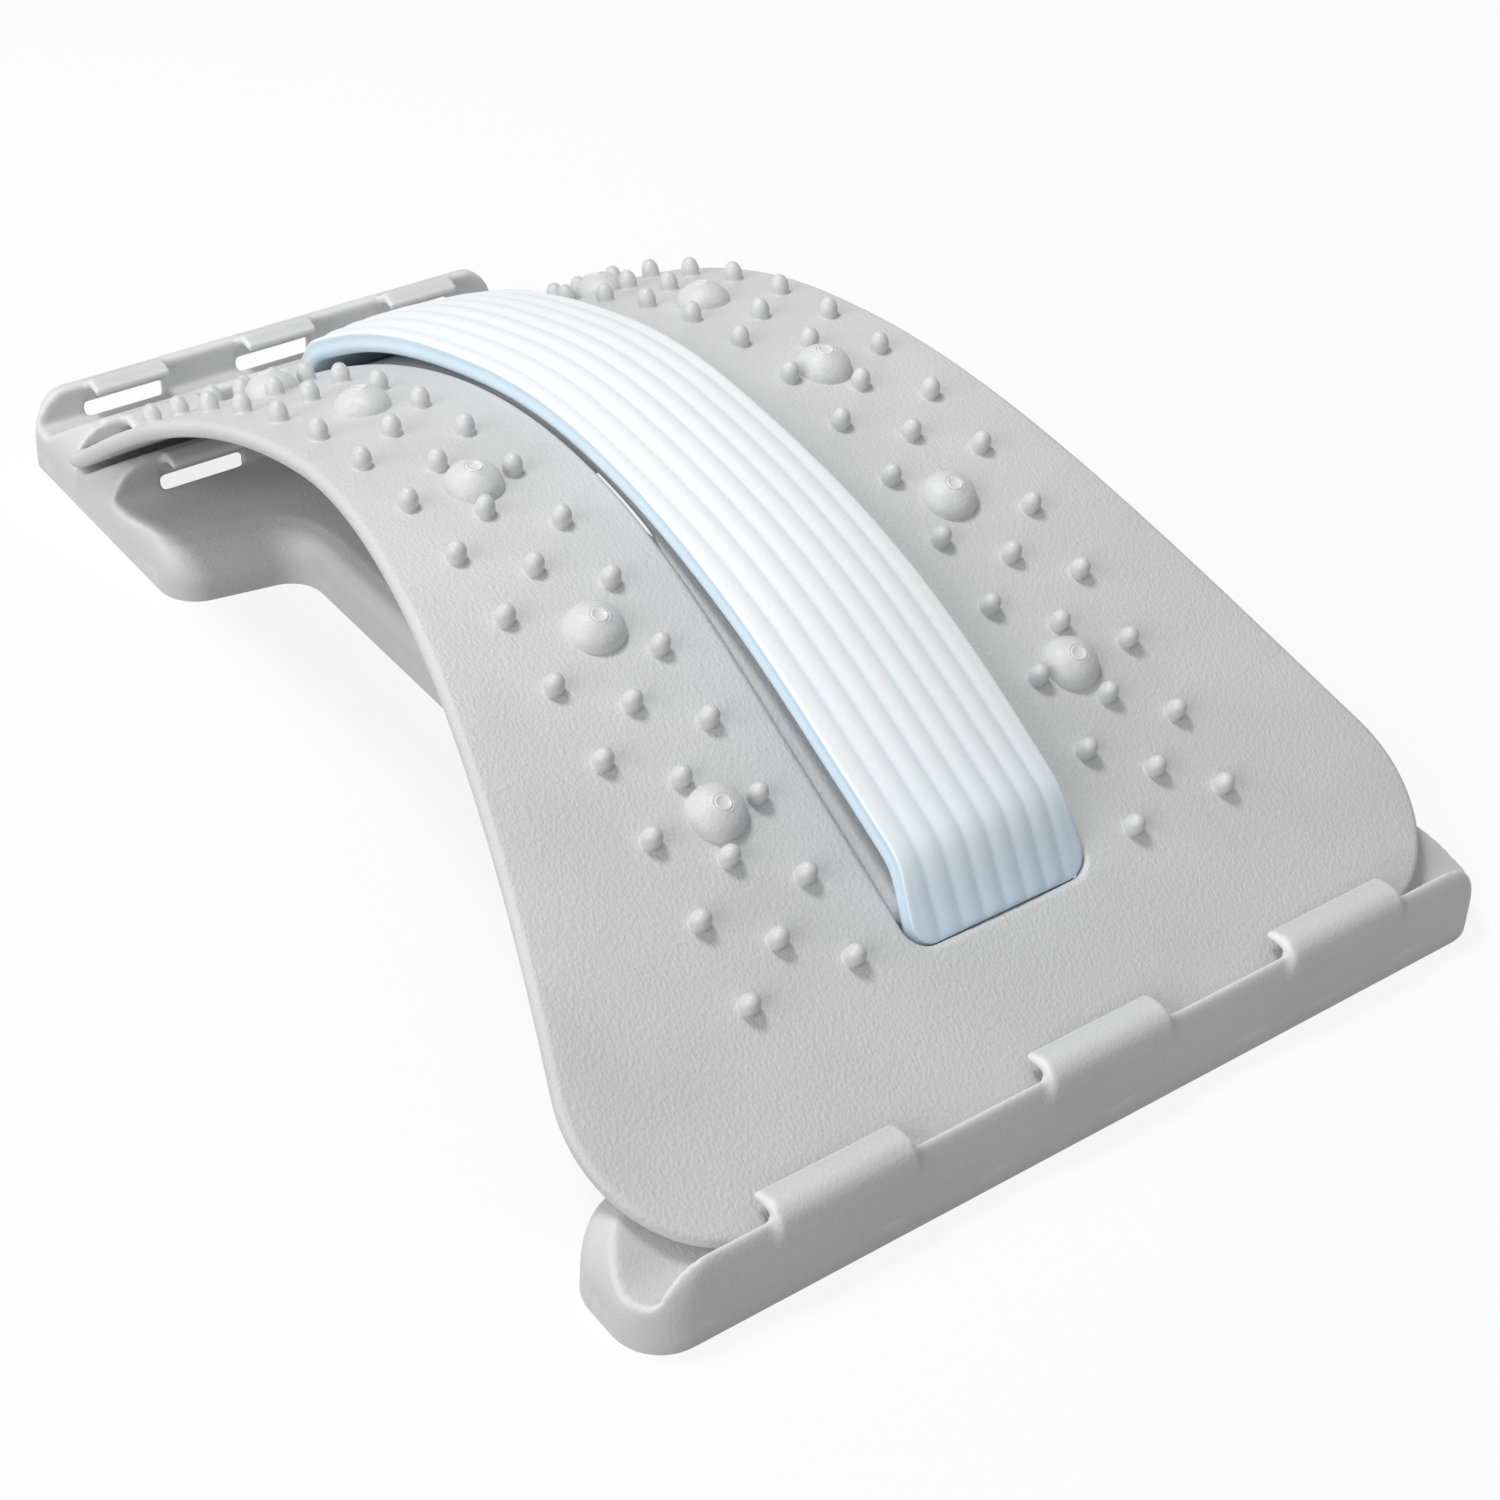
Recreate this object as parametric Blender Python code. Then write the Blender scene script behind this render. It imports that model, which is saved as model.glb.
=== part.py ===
"""Back stretcher: a sprung, arched board hooked into a low base with three far rows of hooks.

X is the width, Y the length and Z points up. The object stands on z = 0, and its end with
the single row of hooks faces -Y. All sizes are real sizes in metres.
"""
import math

import bmesh
import bpy
from mathutils import Matrix, Vector

MM = 0.001
GAP = 0.35 * MM                      # air between two pieces that seat on each other
CUT_OVER = 2.0 * MM                  # how far a cutter runs past the face that it cuts

# Whole base, and how far in from its ends the hook rows stand
BASE_HALF_LENGTH = 191.2 * MM
NEAR_LIP_DEPTH = 4.05 * MM           # from the near end to the face of its hook wall
FAR_LIP_DEPTH = 4.85 * MM            # from the far end to the face of its hook wall
ROW_PITCH = 24.0 * MM

# Arched board: its top surface as it stands between the single row and the middle far row
BOARD_THICKNESS = 4.5 * MM
NEAR_END_Y = NEAR_LIP_DEPTH + GAP - BASE_HALF_LENGTH
NEAR_END_Z = 15.6 * MM
NEAR_SLOPE = 0.57
APEX_Y = -2.0 * MM
APEX_Z = 90.2 * MM
FAR_END_Y = BASE_HALF_LENGTH - FAR_LIP_DEPTH - ROW_PITCH - GAP
FAR_END_Z = 15.7 * MM
FAR_SLOPE = -0.784

# Arched board: its outline as it is moulded, measured along the surface
HIP_HALF_WIDTH = 118.5 * MM
WAIST_HALF_WIDTH = 79.5 * MM
TAPER_END = 222.0 * MM               # from the near end to where the sides run straight
TAPER_POWER = 1.5
HIP_CORNER_WIDTH = 30.5 * MM
HIP_CORNER_LENGTH = 34.0 * MM
HIP_CORNER_TURN = 19.0               # degrees that the corner turns past the widest place
FAR_CORNER_RADIUS = 9.0 * MM
BOARD_EDGE_ROUND = 1.9 * MM

# Slot for the spine cushion
SLOT_NEAR_HALF_WIDTH = 25.6 * MM
SLOT_FAR_HALF_WIDTH = 22.4 * MM
SLOT_TAPER_START = 80.0 * MM         # the slot narrows between these two runs along the board
SLOT_TAPER_END = 190.0 * MM
SLOT_END_MARGIN = 40.0 * MM
SLOT_CORNER_RADIUS = 6.0 * MM

# Massage bumps and domes
FIRST_ROW = 44.8 * MM                # from the near end to the first row of bumps
HALF_ROW = 10.43 * MM                # the board is cut to bend at this pitch, between the bumps
ROW_COUNT = 15
COLUMN_MIDDLE = 54.75 * MM
COLUMN_SPACING = 14.1 * MM
BUMP_RADIUS = 2.15 * MM
BUMP_HEIGHT = 5.1 * MM
BUMP_SIDES = 8
DOME_HALF_ROWS = (4, 9, 14, 19, 24)
DOME_INSET = 3.5 * MM                # from the middle column towards the slot
DOME_RADIUS = 7.2 * MM
DOME_HEIGHT = 5.4 * MM
DOME_SIDES = 16
MAGNET_RADIUS = 2.0 * MM
MAGNET_LENGTH = 4.5 * MM
MAGNET_PROUD = 0.1 * MM
MAGNET_SIDES = 12

# Spine cushion and the strip that carries it
CUSHION_SIDE_GAP = 0.6 * MM          # from the slot's wall to the cushion's side
CUSHION_THICKNESS = 6.6 * MM
CUSHION_CROWN = 1.8 * MM
CUSHION_SIDE_DRAW = 0.8 * MM         # how far the side walls pull in at mid height
CUSHION_NOSE = 9.0 * MM              # length over which each end rounds down
CUSHION_NOSE_DRAW = 0.16             # share of the width that the ends pull in
CUSHION_END_HEIGHT = 0.72            # share of the thickness that is left at the very end
CUSHION_STATION_PITCH = 14.0 * MM
RIB_COUNT = 8
RIB_DEPTH = 0.9 * MM
CUSHION_LIFT_NEAR = 4.1 * MM         # underside over the board's top, past the near end's curl
CUSHION_LIFT_MIDDLE = 0.3 * MM
CUSHION_LIFT_FAR = 1.1 * MM
SHOULDER_DISTANCE = 27.0 * MM        # length over which each end curls down into the slot
NEAR_FADE_START = 112.0 * MM
NEAR_FADE_LENGTH = 78.0 * MM
FAR_FADE_START = 260.0 * MM
FAR_FADE_LENGTH = 45.0 * MM
CARRIER_HALF_WIDTH = 17.0 * MM
CARRIER_THICKNESS = 2.2 * MM
CARRIER_TONGUE = 8.0 * MM            # reach under the board past the slot's end

# Base: plan at the floor
NEAR_FOOT_HALF_WIDTH = 123.8 * MM
FAR_FOOT_HALF_WIDTH = 78.0 * MM
WEB_HALF_WIDTH = 41.5 * MM
NEAR_FOOT_LENGTH = 30.2 * MM         # along each foot's outer side
FAR_FOOT_LENGTH = 91.4 * MM
FOOT_FACE_SLANT = 0.175
FOOT_CORNER_RADIUS = 12.0 * MM
FAR_END_CORNER_RADIUS = 5.0 * MM
WEB_CORNER_RADIUS = 10.0 * MM
BASE_WALL = 2.6 * MM
DRAFT = 0.03

# Base: heights and shoulders
WEB_TOP = 15.5 * MM
NEAR_RAMP_LENGTH = 14.0 * MM         # from the trough's floor up to the crest
CREST_LENGTH = 8.0 * MM
LIP_TOP = 21.8 * MM
ROW_RIM_TOP = 23.4 * MM
FAR_RIM_TOP = 22.8 * MM
NEAR_SHOULDER = 14.0 * MM
FAR_SHOULDER = 14.5 * MM
FAR_SHOULDER_WIDTH = 11.0 * MM
WEB_SHOULDER = 6.0 * MM
NEAR_FACE_SHOULDER = 8.0 * MM
FAR_FACE_SHOULDER = 12.0 * MM
END_EDGE_ROUND = 1.5 * MM

# Hook rows
ROW_FLOOR_LENGTH = 6.0 * MM          # flat floor in front of each row's wall
TAB_REACH = 6.6 * MM                 # from the wall to the tab's free edge
TAB_THICKNESS = 1.8 * MM
NEAR_TAB_RISE = 2.2 * MM             # from the lip's top to the tab's root
FAR_TAB_RISE = 0.3 * MM
NEAR_TAB_SPANS = ((-90.5 * MM, -54.5 * MM), (-17.5 * MM, 17.5 * MM), (54.5 * MM, 90.5 * MM))
FAR_TAB_SPANS = ((-60.7 * MM, -37.2 * MM), (-11.5 * MM, 11.5 * MM), (37.2 * MM, 60.7 * MM))
WINDOW_HEAD = 21.0 * MM
WINDOW_SILL = 11.6 * MM
WINDOW_SIDE = 1.2 * MM                # how far a far window runs past its hook on each side
NEAR_WINDOW_WIDTH = 5.5 * MM
RIB_WALL = 2.0 * MM
WEB_RIB_PITCH = 34.0 * MM
LONG_RIB_X = 24.0 * MM
WEB_RIB_DROP = 8.2 * MM              # ribs stop this far above the floor

PLASTIC_GREY = (0.56, 0.56, 0.56, 1.0)
BASE_GREY = (0.52, 0.52, 0.52, 1.0)
CUSHION_BLUE = (0.66, 0.80, 0.88, 1.0)
CARRIER_GREY = (0.35, 0.35, 0.36, 1.0)
MAGNET_GREY = (0.62, 0.62, 0.63, 1.0)


# Scene helpers

def clear_scene():
    for obj in list(bpy.data.objects):
        bpy.data.objects.remove(obj, do_unlink=True)


def new_collection(name):
    collection = bpy.data.collections.new(name)
    bpy.context.scene.collection.children.link(collection)
    return collection


def new_material(name, color, roughness, metallic=0.0):
    material = bpy.data.materials.new(name)
    material.use_nodes = True
    shader = material.node_tree.nodes["Principled BSDF"]
    shader.inputs["Base Color"].default_value = color
    shader.inputs["Roughness"].default_value = roughness
    shader.inputs["Metallic"].default_value = metallic
    material.diffuse_color = color
    return material


def object_from_bmesh(bm, name, collection):
    mesh = bpy.data.meshes.new(name)
    bm.to_mesh(mesh)
    bm.free()
    obj = bpy.data.objects.new(name, mesh)
    collection.objects.link(obj)
    return obj


def hide_as_cutter(obj):
    obj.hide_render = True
    obj.display_type = "WIRE"


def evaluated_mesh(obj, name):
    """The object's mesh with its modifiers, welded, in world space."""
    graph = bpy.context.evaluated_depsgraph_get()
    graph.update()
    mesh = bpy.data.meshes.new_from_object(obj.evaluated_get(graph))
    mesh.name = name
    mesh.transform(obj.matrix_world)
    bm = bmesh.new()
    bm.from_mesh(mesh)
    bmesh.ops.remove_doubles(bm, verts=bm.verts, dist=0.002 * MM)
    bm.to_mesh(mesh)
    bm.free()
    return mesh


def add_boolean(obj, other, operation):
    modifier = obj.modifiers.new(operation.lower() + " " + other.name, "BOOLEAN")
    modifier.operation = operation
    modifier.object = other
    modifier.solver = "EXACT"


def finish_part(obj, material, sharp_angle=35.0):
    obj.data.materials.clear()
    obj.data.materials.append(material)
    obj.data.shade_smooth()
    obj.data.set_sharp_from_angle(angle=math.radians(sharp_angle))


def outline_plate(name, loops, thickness, collection, rounding=0.0):
    """A flat plate from closed outlines in X and Y.

    A second outline is a hole and is wound the other way, so that both edges round inwards.
    """
    curve = bpy.data.curves.new(name, "CURVE")
    curve.dimensions = "2D"
    curve.fill_mode = "BOTH"
    curve.extrude = thickness / 2 - rounding
    curve.bevel_depth = rounding
    curve.bevel_resolution = 1
    curve.offset = -rounding
    for loop in loops:
        spline = curve.splines.new("POLY")
        spline.points.add(len(loop) - 1)
        for point, (x, y) in zip(spline.points, loop):
            point.co = (x, y, 0.0, 1.0)
        spline.use_cyclic_u = True
    drawn = bpy.data.objects.new(name + "_outline", curve)
    collection.objects.link(drawn)
    mesh = evaluated_mesh(drawn, name)
    bpy.data.objects.remove(drawn, do_unlink=True)
    obj = bpy.data.objects.new(name, mesh)
    collection.objects.link(obj)
    return obj


def section_solid(name, outline, x_low, x_high, collection):
    """A closed outline in Y and Z, drawn out along X."""
    obj = outline_plate(name, [outline], x_high - x_low, collection)
    stand_up = Matrix(((0, 0, 1, (x_low + x_high) / 2), (1, 0, 0, 0), (0, 1, 0, 0), (0, 0, 0, 1)))
    obj.data.transform(stand_up)
    return obj


def turned_body(bm, profile, steps, place):
    """Spin (radius, height) points, from the axis below to the axis above, and place the body."""
    rings = []
    for radius, height in profile:
        if radius == 0.0:
            rings.append([bm.verts.new(place @ Vector((0.0, 0.0, height)))])
            continue
        ring = []
        for step in range(steps):
            turn = 2 * math.pi * step / steps
            here = Vector((radius * math.cos(turn), radius * math.sin(turn), height))
            ring.append(bm.verts.new(place @ here))
        rings.append(ring)
    for low, high in zip(rings, rings[1:]):
        for step in range(steps):
            after = (step + 1) % steps
            if len(low) == 1:
                bm.faces.new((low[0], high[after], high[step]))
            elif len(high) == 1:
                bm.faces.new((low[step], low[after], high[0]))
            else:
                bm.faces.new((low[step], low[after], high[after], high[step]))


def fillet(before, corner, after, radius, steps):
    """Points of the arc that rounds one corner of an outline."""
    to_before = (Vector(before) - Vector(corner)).normalized()
    to_after = (Vector(after) - Vector(corner)).normalized()
    half = to_before.angle(to_after) / 2
    reach = radius / math.tan(half)
    start = Vector(corner) + to_before * reach
    end = Vector(corner) + to_after * reach
    centre = Vector(corner) + (to_before + to_after).normalized() * (radius / math.sin(half))
    first = start - centre
    sweep = first.angle_signed(end - centre)
    points = []
    for step in range(steps + 1):
        turned = first.copy()
        turned.rotate(Matrix.Rotation(-sweep * step / steps, 2))
        points.append(tuple(centre + turned))
    return points


def rounded_outline(corners, steps):
    """An outline from (x, y, radius) corners, each with an arc of so many steps."""
    points = []
    for index, (x, y, radius) in enumerate(corners):
        before = corners[index - 1][:2]
        after = corners[(index + 1) % len(corners)][:2]
        if radius <= 0.0:
            points.append((x, y))
        else:
            points.extend(fillet(before, (x, y), after, radius, steps))
    return points


# The arch that the board is bent to

def hermite(t, z0, slope0, z1, slope1, span):
    height = (2 * t**3 - 3 * t**2 + 1) * z0 + (3 * t**2 - 2 * t**3) * z1
    return height + ((t**3 - 2 * t**2 + t) * slope0 + (t**3 - t**2) * slope1) * span


def arch_z(y):
    if y < APEX_Y:
        span = APEX_Y - NEAR_END_Y
        return hermite((y - NEAR_END_Y) / span, NEAR_END_Z, NEAR_SLOPE, APEX_Z, 0.0, span)
    span = FAR_END_Y - APEX_Y
    return hermite((y - APEX_Y) / span, APEX_Z, 0.0, FAR_END_Z, FAR_SLOPE, span)


def measure_arch(steps=800):
    """Distance along the arch at evenly spaced places, from the near end to the far end."""
    table = [(0.0, NEAR_END_Y, arch_z(NEAR_END_Y))]
    for step in range(1, steps + 1):
        y = NEAR_END_Y + (FAR_END_Y - NEAR_END_Y) * step / steps
        z = arch_z(y)
        run, last_y, last_z = table[-1]
        table.append((run + math.hypot(y - last_y, z - last_z), y, z))
    return table


ARCH = measure_arch()
BOARD_LENGTH = ARCH[-1][0]


def arch_frame(run):
    """Place and slope angle of the arch at a distance from its near end."""
    inside = min(max(run, 0.0), BOARD_LENGTH)
    low, high = 0, len(ARCH) - 1
    while high - low > 1:
        middle = (low + high) // 2
        if ARCH[middle][0] <= inside:
            low = middle
        else:
            high = middle
    share = (inside - ARCH[low][0]) / (ARCH[high][0] - ARCH[low][0])
    y = ARCH[low][1] + share * (ARCH[high][1] - ARCH[low][1])
    z = ARCH[low][2] + share * (ARCH[high][2] - ARCH[low][2])
    step = 0.5 * MM
    below, above = max(y - step, NEAR_END_Y), min(y + step, FAR_END_Y)
    angle = math.atan2(arch_z(above) - arch_z(below), above - below)
    return y, z, angle


def bend(x, run, height):
    """Moves a point of the flat board, at a height over its top face, onto the arch."""
    y, z, angle = arch_frame(run)
    spare = run - min(max(run, 0.0), BOARD_LENGTH)
    y += spare * math.cos(angle) - height * math.sin(angle)
    z += spare * math.sin(angle) + height * math.cos(angle)
    return Vector((x, y, z))


def bend_matrix(x, run, height):
    angle = arch_frame(run)[2]
    return Matrix.Translation(bend(x, run, height)) @ Matrix.Rotation(angle, 4, "X")


def cut_stations(bm, stations):
    """Cuts a flat mesh across at each station, so that it can follow the arch."""
    for run in stations:
        geometry = bm.verts[:] + bm.edges[:] + bm.faces[:]
        bmesh.ops.bisect_plane(bm, geom=geometry, dist=0.001 * MM,
                               plane_co=(0, run, 0), plane_no=(0, 1, 0))


# Arched board

def hip_corner_point(turn):
    """A point of the oval hip corner; turn is -90 at the near end and 0 at the widest place."""
    angle = math.radians(turn)
    x = HIP_HALF_WIDTH - HIP_CORNER_WIDTH * (1 - math.cos(angle))
    return x, HIP_CORNER_LENGTH * (1 + math.sin(angle))


def board_half_width(run):
    start_x, start_run = hip_corner_point(HIP_CORNER_TURN)
    share = min(max((TAPER_END - run) / (TAPER_END - start_run), 0.0), 1.0)
    return WAIST_HALF_WIDTH + (start_x - WAIST_HALF_WIDTH) * share**TAPER_POWER


def board_outline():
    corner_steps, taper_steps = 9, 8
    sweep = 90.0 + HIP_CORNER_TURN
    half = [hip_corner_point(-90.0 + sweep * step / corner_steps) for step in range(corner_steps + 1)]
    start_run = half[-1][1]
    for step in range(1, taper_steps + 1):
        run = start_run + (TAPER_END - start_run) * step / taper_steps
        half.append((board_half_width(run), run))
    far_corner = (WAIST_HALF_WIDTH, BOARD_LENGTH)
    far_middle = (0.0, BOARD_LENGTH)
    half.extend(fillet((WAIST_HALF_WIDTH, 0.0), far_corner, far_middle, FAR_CORNER_RADIUS, 5))
    return half + [(-x, y) for x, y in reversed(half)]


def smooth_step(value):
    share = min(max(value, 0.0), 1.0)
    return share * share * (3 - 2 * share)


def slot_half_width(run):
    share = smooth_step((run - SLOT_TAPER_START) / (SLOT_TAPER_END - SLOT_TAPER_START))
    return SLOT_NEAR_HALF_WIDTH + (SLOT_FAR_HALF_WIDTH - SLOT_NEAR_HALF_WIDTH) * share


def slot_outline():
    near, far = SLOT_END_MARGIN, BOARD_LENGTH - SLOT_END_MARGIN
    steps = 10
    side = [(SLOT_NEAR_HALF_WIDTH, near, SLOT_CORNER_RADIUS)]
    for step in range(steps + 1):
        run = SLOT_TAPER_START + (SLOT_TAPER_END - SLOT_TAPER_START) * step / steps
        side.append((slot_half_width(run), run, 0.0))
    side.append((SLOT_FAR_HALF_WIDTH, far, SLOT_CORNER_RADIUS))
    corners = side + [(-x, run, radius) for x, run, radius in reversed(side)]
    return rounded_outline(corners, 4)


def bump_places():
    """Left and right of the slot: outer and inner columns on whole rows, the middle between."""
    places = []
    for side in (-1, 1):
        for row in range(ROW_COUNT):
            run = FIRST_ROW + 2 * row * HALF_ROW
            places.append((side * (COLUMN_MIDDLE + COLUMN_SPACING), run))
            places.append((side * (COLUMN_MIDDLE - COLUMN_SPACING), run))
        for row in range(ROW_COUNT - 1):
            half_row = 2 * row + 1
            if half_row not in DOME_HALF_ROWS:
                places.append((side * COLUMN_MIDDLE, FIRST_ROW + half_row * HALF_ROW))
    return places


def dome_places():
    places = []
    for side_name, side in (("left", -1), ("right", 1)):
        for number, half_row in enumerate(DOME_HALF_ROWS, start=1):
            run = FIRST_ROW + half_row * HALF_ROW
            places.append((f"{side_name}_{number}", side * (COLUMN_MIDDLE - DOME_INSET), run))
    return places


def make_bumps(cutters):
    root = -1.2 * MM
    profile = [(0.0, root), (BUMP_RADIUS, root), (0.92 * BUMP_RADIUS, 0.56 * BUMP_HEIGHT),
               (0.72 * BUMP_RADIUS, 0.83 * BUMP_HEIGHT), (0.37 * BUMP_RADIUS, 0.97 * BUMP_HEIGHT),
               (0.0, BUMP_HEIGHT)]
    bm = bmesh.new()
    for x, run in bump_places():
        turned_body(bm, profile, BUMP_SIDES, Matrix.Translation((x, run, 0.0)))
    bumps = object_from_bmesh(bm, "bump_bodies", cutters)
    hide_as_cutter(bumps)
    return bumps


def make_domes(cutters):
    """Domes with a blind bore in each top for its magnet."""
    ring_count = 4
    profile = [(0.0, -1.2 * MM), (DOME_RADIUS, -1.2 * MM)]
    for ring in range(ring_count):
        rise = 0.5 * math.pi * ring / ring_count
        profile.append((DOME_RADIUS * math.cos(rise), DOME_HEIGHT * math.sin(rise)))
    bore = MAGNET_RADIUS + GAP
    floor = DOME_HEIGHT + MAGNET_PROUD - MAGNET_LENGTH - GAP
    profile.append((bore, DOME_HEIGHT * math.sqrt(1 - (bore / DOME_RADIUS)**2)))
    profile.extend([(bore, floor), (0.0, floor)])
    bm = bmesh.new()
    for _, x, run in dome_places():
        turned_body(bm, profile, DOME_SIDES, Matrix.Translation((x, run, 0.0)))
    domes = object_from_bmesh(bm, "dome_bodies", cutters)
    hide_as_cutter(domes)
    return domes


def make_board(parts, cutters, material):
    outlines = [board_outline(), slot_outline()]
    flat = outline_plate("flat_board", outlines, BOARD_THICKNESS, cutters, BOARD_EDGE_ROUND)
    flat.data.transform(Matrix.Translation((0.0, 0.0, -BOARD_THICKNESS / 2)))
    hide_as_cutter(flat)
    add_boolean(flat, make_bumps(cutters), "UNION")
    add_boolean(flat, make_domes(cutters), "UNION")
    bm = bmesh.new()
    mesh = evaluated_mesh(flat, "arch_board")
    bm.from_mesh(mesh)
    first = (FIRST_ROW - 0.5 * HALF_ROW) % HALF_ROW
    count = int((BOARD_LENGTH - BOARD_EDGE_ROUND - first) / HALF_ROW)
    cut_stations(bm, [first + step * HALF_ROW for step in range(count + 1)])
    for vert in bm.verts:
        vert.co = bend(*vert.co)
    bm.to_mesh(mesh)
    bm.free()
    board = bpy.data.objects.new("arch_board", mesh)
    parts.objects.link(board)
    finish_part(board, material)
    return board


def make_magnets(parts, material):
    rim = 0.6 * MM
    foot = -MAGNET_LENGTH
    profile = [(0.0, foot), (MAGNET_RADIUS, foot), (MAGNET_RADIUS, -rim),
               (MAGNET_RADIUS - 0.3 * rim, -0.3 * rim), (MAGNET_RADIUS - rim, 0.0), (0.0, 0.0)]
    for name, x, run in dome_places():
        bm = bmesh.new()
        turned_body(bm, profile, MAGNET_SIDES, Matrix.Identity(4))
        magnet = object_from_bmesh(bm, "dome_magnet_" + name, parts)
        magnet.matrix_world = bend_matrix(x, run, DOME_HEIGHT + MAGNET_PROUD)
        finish_part(magnet, material)


# Spine cushion

def cushion_underside(run):
    """Height of the cushion's underside over the board's top face."""
    near_inset = run - SLOT_END_MARGIN
    far_inset = BOARD_LENGTH - SLOT_END_MARGIN - run
    height = CUSHION_LIFT_MIDDLE
    near_share = smooth_step(1 - (run - NEAR_FADE_START) / NEAR_FADE_LENGTH)
    far_share = smooth_step((run - FAR_FADE_START) / FAR_FADE_LENGTH)
    height += (CUSHION_LIFT_NEAR - CUSHION_LIFT_MIDDLE) * near_share
    height += (CUSHION_LIFT_FAR - CUSHION_LIFT_MIDDLE) * far_share
    near_drop = (BOARD_THICKNESS + CUSHION_LIFT_NEAR) * smooth_step(1 - near_inset / SHOULDER_DISTANCE)
    far_drop = (BOARD_THICKNESS + CUSHION_LIFT_FAR) * smooth_step(1 - far_inset / SHOULDER_DISTANCE)
    return height - near_drop - far_drop


def cushion_section():
    """Flat-bottomed outline with drawn-in sides and lengthwise ribs on a low crown."""
    edge_height = CUSHION_THICKNESS - CUSHION_CROWN
    half_width = SLOT_NEAR_HALF_WIDTH - CUSHION_SIDE_GAP
    points = [(-half_width + 1.0 * MM, 0.0), (half_width - 1.0 * MM, 0.0),
              (half_width, 1.0 * MM), (half_width - CUSHION_SIDE_DRAW, 0.5 * edge_height)]
    pitch = 2 * (half_width - 0.4 * MM) / RIB_COUNT
    steps_per_rib = 3
    for index in range(RIB_COUNT * steps_per_rib + 1):
        x = half_width - 0.4 * MM - index * pitch / steps_per_rib
        crown = CUSHION_CROWN * (1 - (x / half_width)**2)
        groove = 0.0 if index % steps_per_rib else RIB_DEPTH
        points.append((x, edge_height + crown - groove))
    points.append((-half_width + CUSHION_SIDE_DRAW, 0.5 * edge_height))
    points.append((-half_width, 1.0 * MM))
    return points


def cushion_stations():
    """Close together where the ends curl, then even along the middle."""
    close = [CUSHION_NOSE * share for share in (0.27, 0.53, 0.8, 1.07)]
    curl = SHOULDER_DISTANCE - CUSHION_NOSE
    close += [CUSHION_NOSE + curl * share for share in (0.3, 0.65, 1.0, 1.4)]
    near = [SLOT_END_MARGIN + inset for inset in close]
    far = [BOARD_LENGTH - SLOT_END_MARGIN - inset for inset in reversed(close)]
    span = far[0] - near[-1]
    count = round(span / CUSHION_STATION_PITCH)
    return near + [near[-1] + span * step / count for step in range(1, count)] + far


def make_strip(name, section, start, end, surface, collection):
    """Draws a section (x, height) out along the flat board, then lays it on a surface."""
    strip = outline_plate(name, [section], end - start, collection)
    turn = Matrix(((1, 0, 0, 0), (0, 0, -1, (start + end) / 2), (0, 1, 0, 0), (0, 0, 0, 1)))
    strip.data.transform(turn)
    bm = bmesh.new()
    bm.from_mesh(strip.data)
    cut_stations(bm, cushion_stations())
    for vert in bm.verts:
        vert.co = surface(*vert.co)
    bm.to_mesh(strip.data)
    bm.free()
    return strip


def cushion_surface(x, run, height):
    """Follows the slot's width, and rounds the ends down like a nose."""
    inset = min(run - SLOT_END_MARGIN, BOARD_LENGTH - SLOT_END_MARGIN - run) - GAP
    short = 1.0 - min(max(inset, 0.0) / CUSHION_NOSE, 1.0)
    arc = math.sqrt(max(1.0 - short * short, 0.0))
    full = CUSHION_END_HEIGHT + (1 - CUSHION_END_HEIGHT) * arc
    taper = (slot_half_width(run) - CUSHION_SIDE_GAP) / (SLOT_NEAR_HALF_WIDTH - CUSHION_SIDE_GAP)
    narrow = taper * (1.0 - CUSHION_NOSE_DRAW * short**3)
    return bend(x * narrow, run, cushion_underside(run) + height * full)


def carrier_surface(x, run, height):
    return bend(x, run, cushion_underside(run) - GAP + height)


def make_cushion(parts, material):
    start = SLOT_END_MARGIN + 2 * GAP
    end = BOARD_LENGTH - SLOT_END_MARGIN - 2 * GAP
    cushion = make_strip("spine_cushion", cushion_section(), start, end, cushion_surface, parts)
    finish_part(cushion, material, 50.0)


def make_carrier(parts, material):
    half, deep = CARRIER_HALF_WIDTH, CARRIER_THICKNESS
    section = [(-half, -deep), (half, -deep), (half, 0.0), (-half, 0.0)]
    start = SLOT_END_MARGIN - CARRIER_TONGUE
    end = BOARD_LENGTH - start
    carrier = make_strip("cushion_carrier", section, start, end, carrier_surface, parts)
    finish_part(carrier, material)


# Base

def end_lowest(run):
    """The lowest point of the board's rounded end."""
    inward = BOARD_EDGE_ROUND if run <= 0.0 else -BOARD_EDGE_ROUND
    return bend(0.0, run + inward, BOARD_EDGE_ROUND - BOARD_THICKNESS).z - BOARD_EDGE_ROUND


def board_underside(y):
    """Height of the board's underside over a place on the floor."""
    step = 0.5 * MM
    slope = (arch_z(y + step) - arch_z(y - step)) / (2 * step)
    return arch_z(y) - BOARD_THICKNESS * math.hypot(1.0, slope)


NEAR_FOOT_BACK_Y = NEAR_FOOT_LENGTH - BASE_HALF_LENGTH
FAR_FOOT_FRONT_Y = BASE_HALF_LENGTH - FAR_FOOT_LENGTH
NEAR_WALL_Y = NEAR_END_Y - GAP
ROW2_WALL_Y = FAR_END_Y + GAP
ROW3_WALL_Y = ROW2_WALL_Y - ROW_PITCH
NEAR_FLOOR = end_lowest(0.0) - GAP
ROW_FLOOR = end_lowest(BOARD_LENGTH) - GAP
NEAR_FLOOR_END = NEAR_WALL_Y + 6.5 * MM
CREST_Y = NEAR_FLOOR_END + NEAR_RAMP_LENGTH
CREST_TOP = board_underside(CREST_Y) - GAP


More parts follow.
